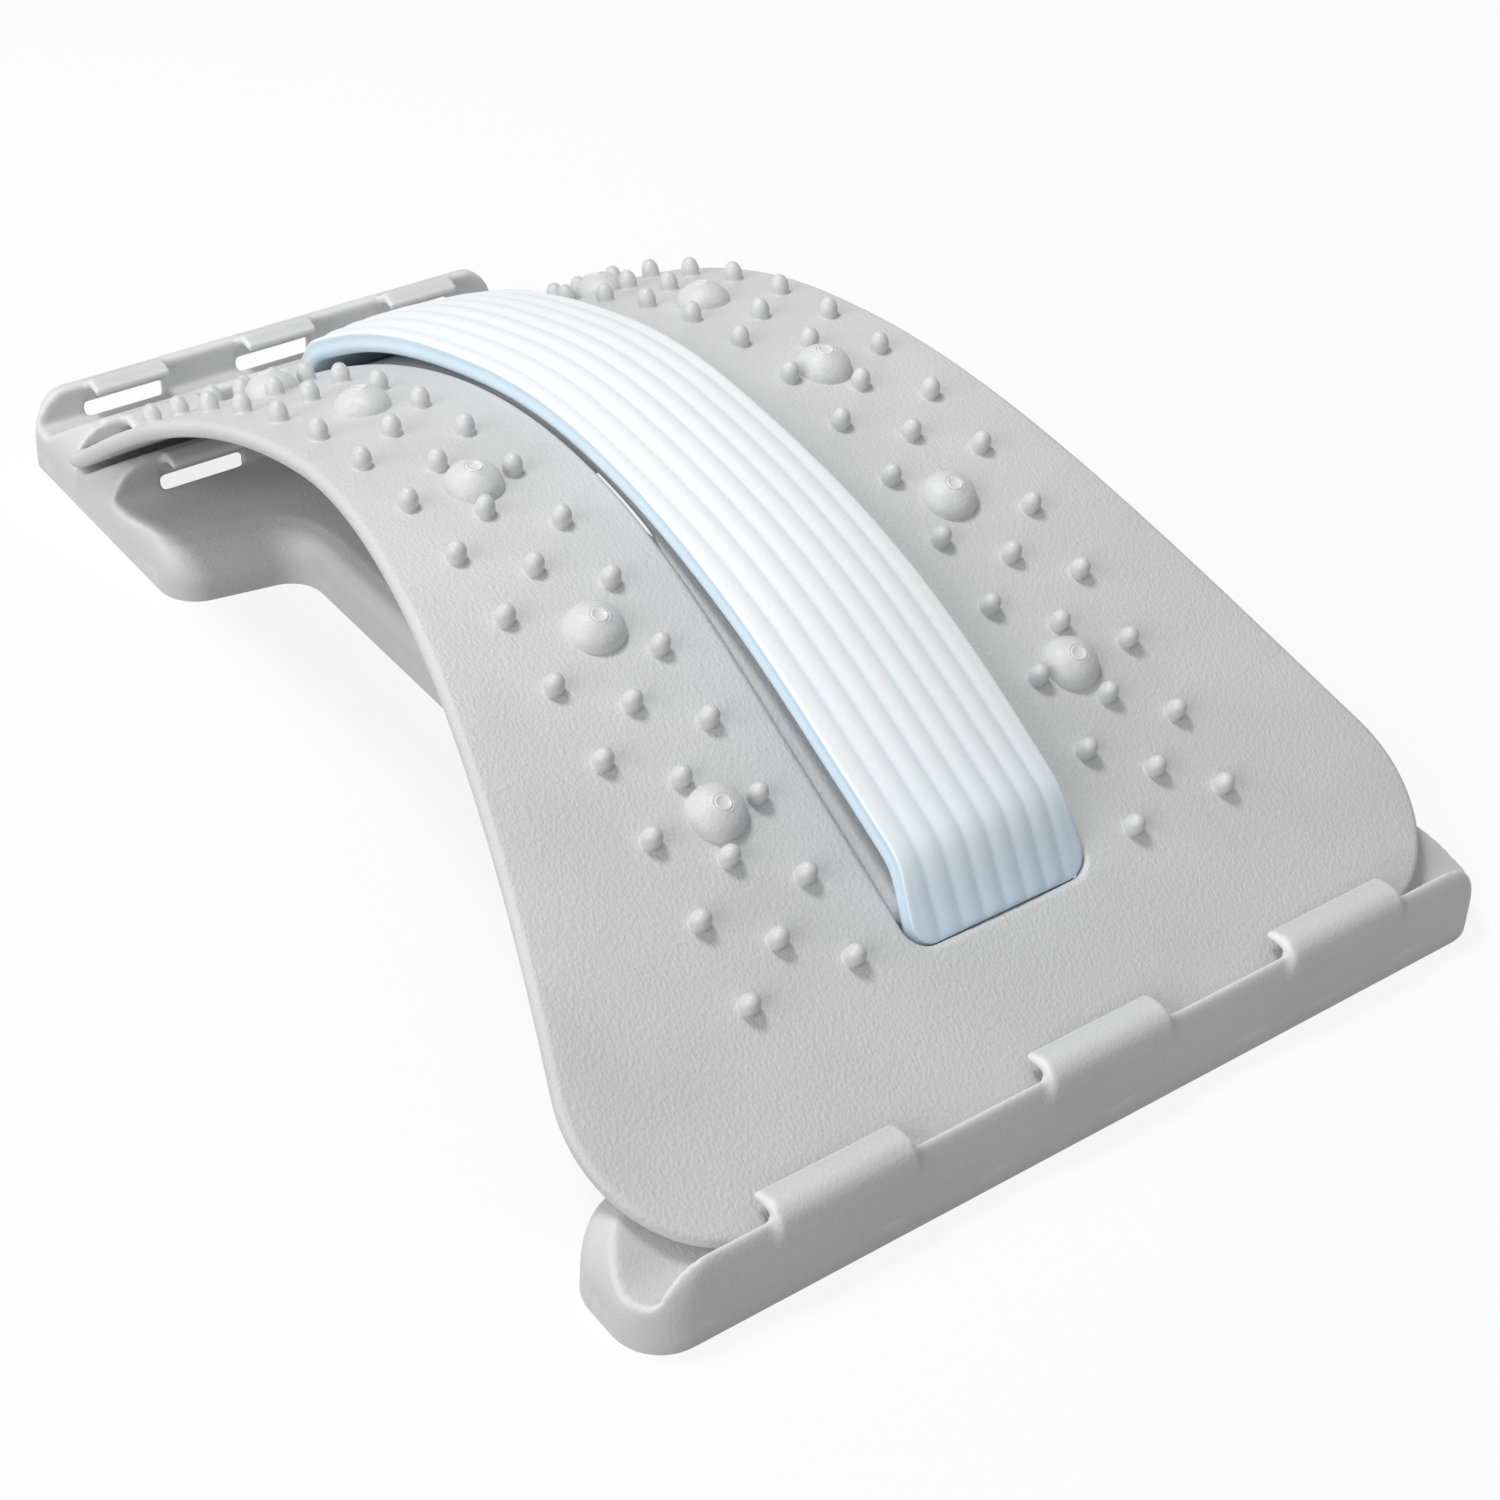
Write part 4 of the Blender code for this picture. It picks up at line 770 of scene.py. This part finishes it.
strip_runs = evenly(slot_near - STRIP_TONGUE, slot_far + STRIP_TONGUE, STRIP_STEPS)
strip = skinned("carrier_strip", [strip_ring(run) for run in strip_runs])
run_tree(strip, lay_tree, arch=arch_line, material=board_plastic)
softer = strip.modifiers.new("softer", "BEVEL")
softer.width, softer.segments = 0.4 * MM, 2
strip = make_plain(strip)
strip.data.shade_smooth()
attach(strip, "board_body")
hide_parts("cushion_carrier")
print("strip faces:", len(strip.data.polygons))

# %% [markdown]
# ## The base
#
# The base is one deep moulding: two feet joined by a narrow middle, with a wall and hooks at each
# end. Its plan is offset inwards at each height, for the draft and the round shoulders, and a side
# section gives the troughs. The two are crossed, hollowed and joined to the hooks.
#
# A moulded part has no sharp edge anywhere. The joined body is therefore remeshed into small even
# cells and smoothed a little, which rounds every edge and fills every inner corner at once. Only
# the rim on the floor stays crisp: the body is made too deep and then cut level.

# %% Base sizes
NEAR_FOOT_HALF_WIDTH, FAR_FOOT_HALF_WIDTH, WEB_HALF_WIDTH = 123.8 * MM, 78.0 * MM, 41.5 * MM
NEAR_FOOT_BACK_Y = 30.2 * MM - BASE_HALF_LENGTH
FAR_FOOT_FRONT_Y = BASE_HALF_LENGTH - 91.4 * MM
FOOT_FACE_SLANT = 0.175
FOOT_CORNER, FAR_END_CORNER, WEB_CORNER, LEAST_CORNER = 12.0 * MM, 5.0 * MM, 10.0 * MM, 1.5 * MM
WALL, DRAFT = 2.6 * MM, 0.03
WEB_TOP, LIP_TOP, ROW_RIM_TOP, FAR_RIM_TOP = 15.5 * MM, 21.8 * MM, 23.4 * MM, 22.8 * MM
NEAR_FLOOR, ROW_FLOOR = 12.0 * MM, 12.55 * MM
CREST_Y, CREST_TOP, CREST_LENGTH, CREST_FALL = -166.65 * MM, 21.6 * MM, 8.0 * MM, 18.0 * MM
FAR_ROWS = 3
ROW3_WALL_Y = FAR_WALL_Y - 2 * ROW_PITCH
ROW_FLOOR_LENGTH = 6.0 * MM
NEAR_TABS = ((-72.5 * MM, 36.0 * MM), (0.0, 35.0 * MM), (72.5 * MM, 36.0 * MM))
FAR_TABS = ((-48.95 * MM, 23.5 * MM), (0.0, 23.0 * MM), (48.95 * MM, 23.5 * MM))
print("walls at y:", [round(y / MM, 1) for y in (NEAR_WALL_Y, ROW3_WALL_Y, FAR_WALL_Y)], "mm")


# %% Plan of the base at a height
def plan_edges(height, wall):
    """Right half from near to far: a point, the outward normal, and how far the edge moves in."""
    slant = Vector((-FOOT_FACE_SLANT, 1.0)).normalized()
    back = Vector((FOOT_FACE_SLANT, 1.0)).normalized()
    # A point, its normal, the top there, and the height and the width of the round shoulder.
    rows = [((0.0, -BASE_HALF_LENGTH), (0, -1), LIP_TOP, 12.0, 3.1),
            ((NEAR_FOOT_HALF_WIDTH, 0.0), (1, 0), CREST_TOP, 14.0, 14.0),
            ((NEAR_FOOT_HALF_WIDTH, NEAR_FOOT_BACK_Y), back, CREST_TOP, 8.0, 8.0),
            ((WEB_HALF_WIDTH, 0.0), (1, 0), WEB_TOP, 6.0, 6.0),
            ((FAR_FOOT_HALF_WIDTH, FAR_FOOT_FRONT_Y), -slant, WEB_TOP, 12.0, 12.0),
            ((FAR_FOOT_HALF_WIDTH, 0.0), (1, 0), FAR_RIM_TOP, 14.5, 11.0),
            ((0.0, BASE_HALF_LENGTH), (0, 1), FAR_RIM_TOP, 1.5, 1.5)]
    edges = []
    for point, normal, top, shoulder, width in rows:
        above = min(max((height + wall - (top - shoulder * MM)) / (shoulder * MM), 0.0), 1.0)
        inset = DRAFT * max(height, 0.0) + width * MM * (1 - math.sqrt(1 - above**2)) + wall
        edges.append((Vector(point), Vector(normal), inset))
    return edges


def plan_outline(height, wall, steps):
    """Crosses neighbouring edges and rounds each corner. An inner corner grows as the edges move in."""
    edges = plan_edges(height, wall)
    radii = [FOOT_CORNER, FOOT_CORNER, -WEB_CORNER, -WEB_CORNER, FOOT_CORNER, FAR_END_CORNER]
    corners = []
    for (p1, n1, d1), (p2, n2, d2), radius in zip(edges, edges[1:], radii):
        offset1, offset2 = n1.dot(p1) - d1, n2.dot(p2) - d2
        cross = n1.x * n2.y - n1.y * n2.x
        corner = ((offset1 * n2.y - offset2 * n1.y) / cross, (n1.x * offset2 - n2.x * offset1) / cross)
        inset = (d1 + d2) / 2
        corners.append((*corner, max(radius - inset, LEAST_CORNER) if radius > 0 else -radius + inset))
    half = []
    before = (0.0, corners[0][1])
    for index, (x, y, radius) in enumerate(corners):
        after = corners[index + 1][:2] if index + 1 < len(corners) else (0.0, y)
        half.extend(fillet(before, (x, y), after, radius, steps))
        before = (x, y)
    return mirrored(half)


def plan_body(name, heights, wall, steps):
    """Joins the plans at several heights into one closed body."""
    return skinned(name, [[(x, y, height) for x, y in plan_outline(height, wall, steps)] for height in heights])


print("plan points at the floor:", len(plan_outline(0.0, 0.0, 12)))

# %% Side sections of the base
RAMP_END = NEAR_WALL_Y + 6.5 * MM
CREST_END = CREST_Y + CREST_LENGTH
SOFTEN, CHAMFER, FLOOR_CHAMFER = 2.5 * MM, 0.8 * MM, 1.2 * MM
CURVE_STEPS = 8


def drawn_across(name, outline, width):
    """A plate whose outline is given in Y and Z, and whose thickness lies along X."""
    plate = flat_plate(name, [outline], width)
    plate.data.transform(Matrix(((0, 0, 1, 0), (1, 0, 0, 0), (0, 1, 0, 0), (0, 0, 0, 1))))
    return plate


def side_section(name, line, bottom):
    """A line in Y and Z, closed at the bottom and drawn right across the base."""
    outline = [(line[0][0], bottom)] + line + [(line[-1][0], bottom)]
    return drawn_across(name, outline, 2 * (NEAR_FOOT_HALF_WIDTH + 10 * MM))


def eased(y, reach, low, high, first):
    """Points of a soft slope from one height to another."""
    shares = evenly(0.0, 1.0, CURVE_STEPS)[first:]
    return [(y + reach * share, low + (high - low) * smooth_step(share)) for share in shares]


def top_line():
    ramp = (CREST_TOP - NEAR_FLOOR) / (CREST_Y - RAMP_END)
    line = [(-BASE_HALF_LENGTH - 6 * MM, LIP_TOP), (NEAR_WALL_Y - CHAMFER, LIP_TOP),
            (NEAR_WALL_Y, LIP_TOP - CHAMFER), (NEAR_WALL_Y, NEAR_FLOOR + FLOOR_CHAMFER),
            (NEAR_WALL_Y + FLOOR_CHAMFER, NEAR_FLOOR), (RAMP_END - SOFTEN, NEAR_FLOOR),
            (RAMP_END, NEAR_FLOOR + 0.3 * SOFTEN * ramp), (RAMP_END + SOFTEN, NEAR_FLOOR + SOFTEN * ramp),
            (CREST_Y - SOFTEN, CREST_TOP - SOFTEN * ramp), (CREST_Y, CREST_TOP - 0.3 * SOFTEN * ramp),
            (CREST_Y + SOFTEN, CREST_TOP), (CREST_END, CREST_TOP)]
    line += eased(CREST_END, CREST_FALL, CREST_TOP, WEB_TOP, 1)
    line += eased(ROW3_WALL_Y - 24 * MM, 20 * MM, WEB_TOP, ROW_FLOOR, 0)
    line.append((ROW3_WALL_Y, ROW_FLOOR))
    for row, rim in enumerate((ROW_RIM_TOP, ROW_RIM_TOP, FAR_RIM_TOP)):
        wall = ROW3_WALL_Y + row * ROW_PITCH
        line += [(wall, rim - CHAMFER), (wall + CHAMFER, rim)]
        if row < FAR_ROWS - 1:
            line += [(wall + WALL, rim), (wall + ROW_PITCH - ROW_FLOOR_LENGTH, ROW_FLOOR),
                     (wall + ROW_PITCH, ROW_FLOOR)]
    return line + [(BASE_HALF_LENGTH + 4 * MM, FAR_RIM_TOP)]


def hollow_line():
    """The inside's ceiling: the top line less the wall, with the far rows' backs hollowed too."""
    crest = CREST_TOP - 1.15 * WALL
    line = [(-BASE_HALF_LENGTH - 6 * MM, NEAR_FLOOR - WALL), (RAMP_END, NEAR_FLOOR - WALL),
            (CREST_Y + 1 * MM, crest), (CREST_END, crest), (CREST_END + 16 * MM, WEB_TOP - WALL),
            (ROW3_WALL_Y - 24 * MM, WEB_TOP - WALL), (ROW3_WALL_Y - 12 * MM, ROW_FLOOR + 0.9 * MM - WALL),
            (ROW3_WALL_Y - 6 * MM, ROW_FLOOR - WALL)]
    fall = (ROW_RIM_TOP - ROW_FLOOR) / (ROW_PITCH - ROW_FLOOR_LENGTH - WALL)
    thick = WALL * math.hypot(1.0, fall)
    for row in range(FAR_ROWS - 1):
        back = ROW3_WALL_Y + row * ROW_PITCH + WALL
        line += [(back, ROW_FLOOR - WALL), (back, ROW_RIM_TOP - thick),
                 (back + (ROW_RIM_TOP - ROW_FLOOR - thick + WALL) / fall, ROW_FLOOR - WALL)]
    return line + [(BASE_HALF_LENGTH + 4 * MM, ROW_FLOOR - WALL)]


print("top line points:", len(top_line()), "hollow line points:", len(hollow_line()))

# %% [markdown]
# ### Hooks
#
# Each hook grows out of the top of a wall and rolls over towards the board. Two shapes are drawn,
# a wide one for the near wall and a narrow one for the three far rows, and a tree repeats each
# along its row and from row to row.

# %% One hook
# Millimetres from the back of the foot and from the wall's face, each with the height over the rim.
HOOK_BACK = ((0.3, -8.0), (0.0, -6.1), (0.15, -3.6), (0.6, -2.2), (1.4, -1.0), (2.5, -0.1))
HOOK_FRONT = ((0.4, 0.5), (2.2, 0.6), (4.2, 0.2), (5.7, -0.4), (6.4, -0.8), (6.6, -1.4), (6.5, -2.2),
              (6.1, -2.5), (3.0, -2.1), (1.0, -2.4), (0.0, -3.7))


def make_hook(name, inward, rim, foot, width):
    """A hook at x = 0 whose wall face is at y = 0. Its foot reaches this far back into the wall."""
    outline = [(-0.8, -8.0)] + [(out - foot, rise) for out, rise in HOOK_BACK] + list(HOOK_FRONT)
    points = [(inward * out * MM, rim + rise * MM) for out, rise in outline]
    return drawn_across(name, points if inward > 0 else points[::-1], width)


# %% Tree that repeats hooks in rows
row_tree, start, add = new_geometry_tree(
    "hook_rows", [("Hook", "Object"), ("Row count", "Int"), ("Row step", "Vector"), ("First place", "Vector")])
hook_shape = add("GeometryNodeObjectInfo", {"Object": start.outputs["Hook"]}, transform_space="ORIGINAL")
rows = add("GeometryNodeMeshLine",
           {"Count": start.outputs["Row count"], "Start Location": start.outputs["First place"],
            "Offset": start.outputs["Row step"]}, mode="OFFSET")
close_tree(row_tree, start, add(
    "GeometryNodeInstanceOnPoints", {"Points": rows, "Instance": hook_shape.outputs["Geometry"]}))


def hook_rows(name, columns, inward, rim, foot, row_count, first_wall):
    """All hooks of one kind, as a list of plain mesh objects, one for each column."""
    made = []
    for number, (x, width) in enumerate(columns, start=1):
        hook = make_hook(f"{name}_shape_{number}", inward, rim, foot, width)
        row = new_object(f"{name}_{number}", bpy.data.meshes.new(name))
        run_tree(row, row_tree, hook=hook, row_count=row_count, row_step=(0.0, ROW_PITCH, 0.0),
                 first_place=(x, first_wall, 0.0), material=base_plastic)
        made.append(make_plain(row))
        bpy.data.objects.remove(hook, do_unlink=True)
    return made


hooks = hook_rows("near_hooks", NEAR_TABS, 1.0, LIP_TOP + 2.2 * MM, 3.5, 1, NEAR_WALL_Y)
hooks += hook_rows("far_hooks", FAR_TABS, -1.0, ROW_RIM_TOP + 0.3 * MM, 2.3, FAR_ROWS, ROW3_WALL_Y)
print("hook columns:", len(hooks), "points:", sum(len(hook.data.vertices) for hook in hooks))

# %% [markdown]
# ### Joining, hollowing and rounding
#
# Booleans cross the plan body with the section and cut the hollow and the windows under the hooks.
# The hooks are then simply put into the same mesh: the remesh that rounds the edges also fuses
# bodies that overlap.

# %% Hollow with its ribs
SHOULDER_SHARES = (0.3, 0.4, 0.48, 0.55, 0.62, 0.68, 0.74, 0.79, 0.835, 0.87, 0.9, 0.925, 0.95, 0.97,
                   0.985, 1.0)
RIB_PITCH, RIB_HALF, RIB_TOP, RIB_REACH_X, RIB_REACH_Y = 34 * MM, 1 * MM, 30 * MM, 120 * MM, 200 * MM
CROSS_RIB_FOOT, LONG_RIB_FOOT, LONG_RIB_X = 7.6 * MM, 8.2 * MM, 24 * MM


def cut_with(obj, other, operation):
    modifier = obj.modifiers.new(operation.lower(), "BOOLEAN")
    modifier.operation, modifier.object, modifier.solver = operation, other, "EXACT"


def box_between(name, low, high):
    bm = bmesh.new()
    bmesh.ops.create_cube(bm, size=1.0)
    bmesh.ops.scale(bm, vec=Vector(high) - Vector(low), verts=bm.verts)
    bmesh.ops.translate(bm, vec=(Vector(high) + Vector(low)) / 2, verts=bm.verts)
    return mesh_object(name, bm)


levels = [FAR_RIM_TOP * share for share in SHOULDER_SHARES]
hollow = plan_body("base_hollow", [-6 * MM] + [level - WALL for level in levels[::2]] + [FAR_RIM_TOP], WALL, 6)
spares = [side_section("hollow_section", hollow_line(), -8 * MM)]
cut_with(hollow, spares[0], "INTERSECT")
first, last = NEAR_FOOT_BACK_Y + 12 * MM, FAR_FOOT_FRONT_Y
ribs = [box_between("rib", (-RIB_REACH_X, y - RIB_HALF, CROSS_RIB_FOOT), (RIB_REACH_X, y + RIB_HALF, RIB_TOP))
        for y in evenly(first, last, round((last - first) / RIB_PITCH))]
ribs += [box_between("rib", (x - RIB_HALF, -RIB_REACH_Y, LONG_RIB_FOOT), (x + RIB_HALF, RIB_REACH_Y, RIB_TOP))
         for x in (-LONG_RIB_X, LONG_RIB_X)]
for rib in ribs:
    cut_with(hollow, rib, "DIFFERENCE")
hollow = make_plain(hollow)
spares += ribs + [hollow]
print("hollow faces:", len(hollow.data.polygons), "ribs:", len(ribs))

# %% Body with its windows
WINDOW_FOOT, WINDOW_HEAD, WINDOW_SIDE, WINDOW_BACK = 8.6 * MM, 21.4 * MM, 1.2 * MM, 1.5 * MM
POCKET_START, POCKET_END, POCKET_SIDE = 0.8 * MM, 6.3 * MM, 0.5 * MM


def join_meshes(name, objects):
    bm = bmesh.new()
    for obj in objects:
        bm.from_mesh(obj.data)
        bpy.data.objects.remove(obj, do_unlink=True)
    return mesh_object(name, bm)


windows = []
for row in range(FAR_ROWS):
    wall = ROW3_WALL_Y + row * ROW_PITCH
    end = wall + WALL + WINDOW_BACK if row < FAR_ROWS - 1 else BASE_HALF_LENGTH + 2 * MM
    for x, width in FAR_TABS:
        half = width / 2 + WINDOW_SIDE
        windows.append(box_between(
            "window", (x - half, wall - 0.2 * MM, WINDOW_FOOT), (x + half, end, WINDOW_HEAD)))
for x, width in NEAR_TABS:
    half = width / 2 - POCKET_SIDE
    windows.append(box_between("window", (x - half, NEAR_WALL_Y + POCKET_START, NEAR_FLOOR - 3 * WALL),
                               (x + half, NEAR_WALL_Y + POCKET_END, NEAR_FLOOR + 2 * MM)))
windows = join_meshes("windows", windows)

body = plan_body("base_shell", [-4 * MM] + levels + [FAR_RIM_TOP + 3 * MM], 0.0, 12)
section_body = side_section("base_section", top_line(), -6 * MM)
for other, operation in ((section_body, "INTERSECT"), (hollow, "DIFFERENCE"), (windows, "DIFFERENCE")):
    cut_with(body, other, operation)
body = make_plain(body)
for spare in spares + [section_body, windows]:
    bpy.data.objects.remove(spare, do_unlink=True)
print("base body faces before rounding:", len(body.data.polygons))

# %% Rounded base
CELL, QUICK_CELL, FACES_KEPT = 0.85 * MM, 1.6 * MM, 0.38
FLOOR_SLACK, RIM_ANGLE = 0.01 * MM, 0.6
base = join_meshes("moulded_base", [body] + hooks)
remesh = base.modifiers.new("even cells", "REMESH")
remesh.mode = "VOXEL"
remesh.voxel_size = CELL
relax = base.modifiers.new("relax", "SMOOTH")
relax.factor, relax.iterations = 0.5, 3
thin = base.modifiers.new("fewer faces", "DECIMATE")
thin.ratio = FACES_KEPT
base = make_plain(base)

bm = bmesh.new()
bm.from_mesh(base.data)
cut = bmesh.ops.bisect_plane(bm, geom=bm.verts[:] + bm.edges[:] + bm.faces[:], dist=CUT_SLACK,
                             plane_co=(0, 0, 0), plane_no=(0, 0, -1), clear_outer=True)
rim = [item for item in cut["geom_cut"] if isinstance(item, bmesh.types.BMEdge)]
bmesh.ops.triangle_fill(bm, use_beauty=True, use_dissolve=False, edges=rim, normal=(0, 0, -1))
bmesh.ops.recalc_face_normals(bm, faces=bm.faces)
open_edges = sum(1 for edge in bm.edges if len(edge.link_faces) != 2)
for face in bm.faces:
    face.smooth = True
for edge in bm.edges:
    if max(abs(vertex.co.z) for vertex in edge.verts) < FLOOR_SLACK and edge.calc_face_angle(0.0) > RIM_ANGLE:
        edge.smooth = False
bm.to_mesh(base.data)
bm.free()
base.data.materials.clear()
base.data.materials.append(base_plastic)
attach(base, "base_body")
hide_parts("base")
print("base rim edges:", len(rim), "open edges:", open_edges)
print("base triangles:", sum(len(face.vertices) - 2 for face in base.data.polygons))

# %% [markdown]
# ### Crests for the painted edge highlights
#
# The round edges that stand out are painted a little paler, a painted highlight along them. The mesh itself
# says where that is: a point on a crest lies above the middle of its neighbours. The height is averaged over a
# few rounds and stored as an attribute, from 0 to 1, which the plastic's material reads as painted highlight.

# %% Crests of the base
CREST_FULL, CREST_ROUNDS, CREST_LOW, CREST_FADE = 0.1 * MM, 3, 3 * MM, 2 * MM


def around(values, ends, links):
    """For each point, the mean of its neighbours' values."""
    total = np.zeros(values.shape)
    np.add.at(total, ends[:, 0], values[ends[:, 1]])
    np.add.at(total, ends[:, 1], values[ends[:, 0]])
    return total / links.reshape(-1, *[1] * (values.ndim - 1))


places = np.array([vertex.co[:] for vertex in base.data.vertices])
normals = np.array([normal.vector[:] for normal in base.data.vertex_normals])
ends = np.array([edge.vertices[:] for edge in base.data.edges])
links = np.maximum(np.bincount(ends.ravel(), minlength=len(places)), 1)
stands = np.einsum("ij,ij->i", places - around(places, ends, links), normals)
for _ in range(CREST_ROUNDS):
    stands = (stands + around(stands, ends, links)) / 2
off_floor = np.clip((places[:, 2] - CREST_LOW) / CREST_FADE, 0.0, 1.0)
# Where crests is high, the base's colour is painted paler, as a highlight.
crests = np.clip(stands / CREST_FULL, 0.0, 1.0) * off_floor
base.data.attributes.new("crest", "FLOAT", "POINT").data.foreach_set("value", crests)
print("share of points on crests:", round(float((crests > 0.5).mean()), 3))

# %% Helpers cleared away
for helper in (one_bump, one_dome, one_cap, arch_line):
    bpy.data.objects.remove(helper, do_unlink=True)

# %% [markdown]
# ## Floor, light and camera
#
# The floor is a plain pale sheet. To the camera it is mostly a lit white backdrop, and a share of
# plain diffuse keeps the object's shadow on it. To all other light it is a mid grey, so that it
# throws little back up. The shadows of the bumps are short and fall to the right and towards the
# near end, so the main lamp, a round one just over a metre away, hangs almost overhead, a little to
# the left and behind. A wide, weak lamp on the left draws the soft light lines on the round edges.
# The camera stands where the photograph was taken from, found by fitting the rows of bumps.

# %% Floor
def shown_rays(tree):
    """1 for rays that show the backdrop: the camera's, and those through gloss and clear parts."""
    ray = add_node(tree, "ShaderNodeLightPath")
    share = ray.outputs["Is Camera Ray"]
    for label in ("Is Glossy Ray", "Is Transmission Ray"):
        share = add_node(tree, "ShaderNodeMath", {0: share, 1: ray.outputs[label]}, operation="MAXIMUM")
    return share


FLOOR_HALF, GLOW_SHARE = 6.0, 0.85
WHITE = srgb("#FFFFFF")
bm = bmesh.new()
bmesh.ops.create_grid(bm, x_segments=2, y_segments=2, size=FLOOR_HALF)
floor = mesh_object("floor", bm)
floor_paint, floor_shader, add = new_material(
    "pale studio sheet", Base_Color=srgb("#A8A8A8"), Roughness=0.9, Specular_IOR_Level=0.0)
shown = shown_rays(floor_paint.node_tree)
share = add("ShaderNodeMath", {0: shown, 1: GLOW_SHARE}, operation="MULTIPLY")
backdrop = add("ShaderNodeEmission", {"Color": WHITE, "Strength": 1.0})
sheet_white = add("ShaderNodeBsdfDiffuse", {"Color": WHITE})
for_camera = add("ShaderNodeMixShader", {0: shown, 1: floor_shader, 2: sheet_white})
mixed = add("ShaderNodeMixShader", {0: share, 1: for_camera, 2: backdrop})
fill_inputs(floor_paint.node_tree.nodes["Material Output"], {"Surface": mixed})
floor.data.materials.append(floor_paint)
print("floor:", 2 * FLOOR_HALF, "m square")

# %% World and lamps
ROOM_LIGHT = 0.31
KEY_TOWARDS, KEY_DISTANCE, KEY_STRENGTH, KEY_DIAMETER = (-0.22, 0.17, 0.96), 1.1, 1.65, 0.30
SIDE_TOWARDS, SIDE_STRENGTH, SIDE_SPREAD = (-0.93, -0.14, 0.34), 1.5, 50.0
LAMP_AIM = Vector((0.0, 0.0, 70.0 * MM))
scene = bpy.context.scene
world = bpy.data.worlds.new("pale room")
world.use_nodes = True
sky = world.node_tree.nodes["Background"]
sky_level = add_node(world.node_tree, "ShaderNodeMapRange",
                     {"Value": shown_rays(world.node_tree), "To Min": ROOM_LIGHT, "To Max": 1.0})
fill_inputs(sky, {"Color": WHITE, "Strength": sky_level})
scene.world = world


def add_lamp(name, kind, towards, energy, distance, **shape):
    """A lamp that shines on the object's middle. towards is the direction from there to the lamp."""
    lamp = bpy.data.lights.new(name, kind)
    for label, value in shape.items():
        setattr(lamp, label, value)
    lamp.energy = energy
    obj = new_object(name, lamp)
    obj.rotation_mode = "QUATERNION"
    obj.rotation_quaternion = Vector(towards).to_track_quat("Z", "Y")
    obj.location = LAMP_AIM + Vector(towards).normalized() * distance
    return obj


# This energy makes the disc light the middle as a sun of the same strength would.
key_energy = KEY_STRENGTH * math.pi * KEY_DISTANCE**2
key = add_lamp("key_lamp", "AREA", KEY_TOWARDS, key_energy, KEY_DISTANCE, shape="DISK", size=KEY_DIAMETER)
side = add_lamp("side_lamp", "SUN", SIDE_TOWARDS, SIDE_STRENGTH, KEY_DISTANCE, angle=math.radians(SIDE_SPREAD))
print("lamps:", key.name, "and", side.name)

# %% Camera
# A camera starts by looking straight down, with the top of its picture towards Y.
AZIMUTH, ELEVATION, ROLL = math.radians(-38.04), math.radians(37.25), math.radians(2.974)
CAMERA_PLACE, LENS, SENSOR = (-0.3414, -0.4929, 0.4402), 67.64, 36.0
camera_data = bpy.data.cameras.new("camera")
camera_data.lens, camera_data.sensor_width = LENS, SENSOR
camera_data.clip_start, camera_data.clip_end = 0.05, 20.0
camera = new_object("camera", camera_data)
stand = Matrix.Translation(CAMERA_PLACE)
for angle, axis in ((AZIMUTH, "Z"), (math.pi / 2 - ELEVATION, "X"), (ROLL, "Z")):
    stand = stand @ Matrix.Rotation(angle, 4, axis)
camera.matrix_world = stand
scene.camera = camera
scene.view_settings.view_transform = "Standard"
print("camera at", [round(v, 3) for v in camera.location], "lens", camera_data.lens)
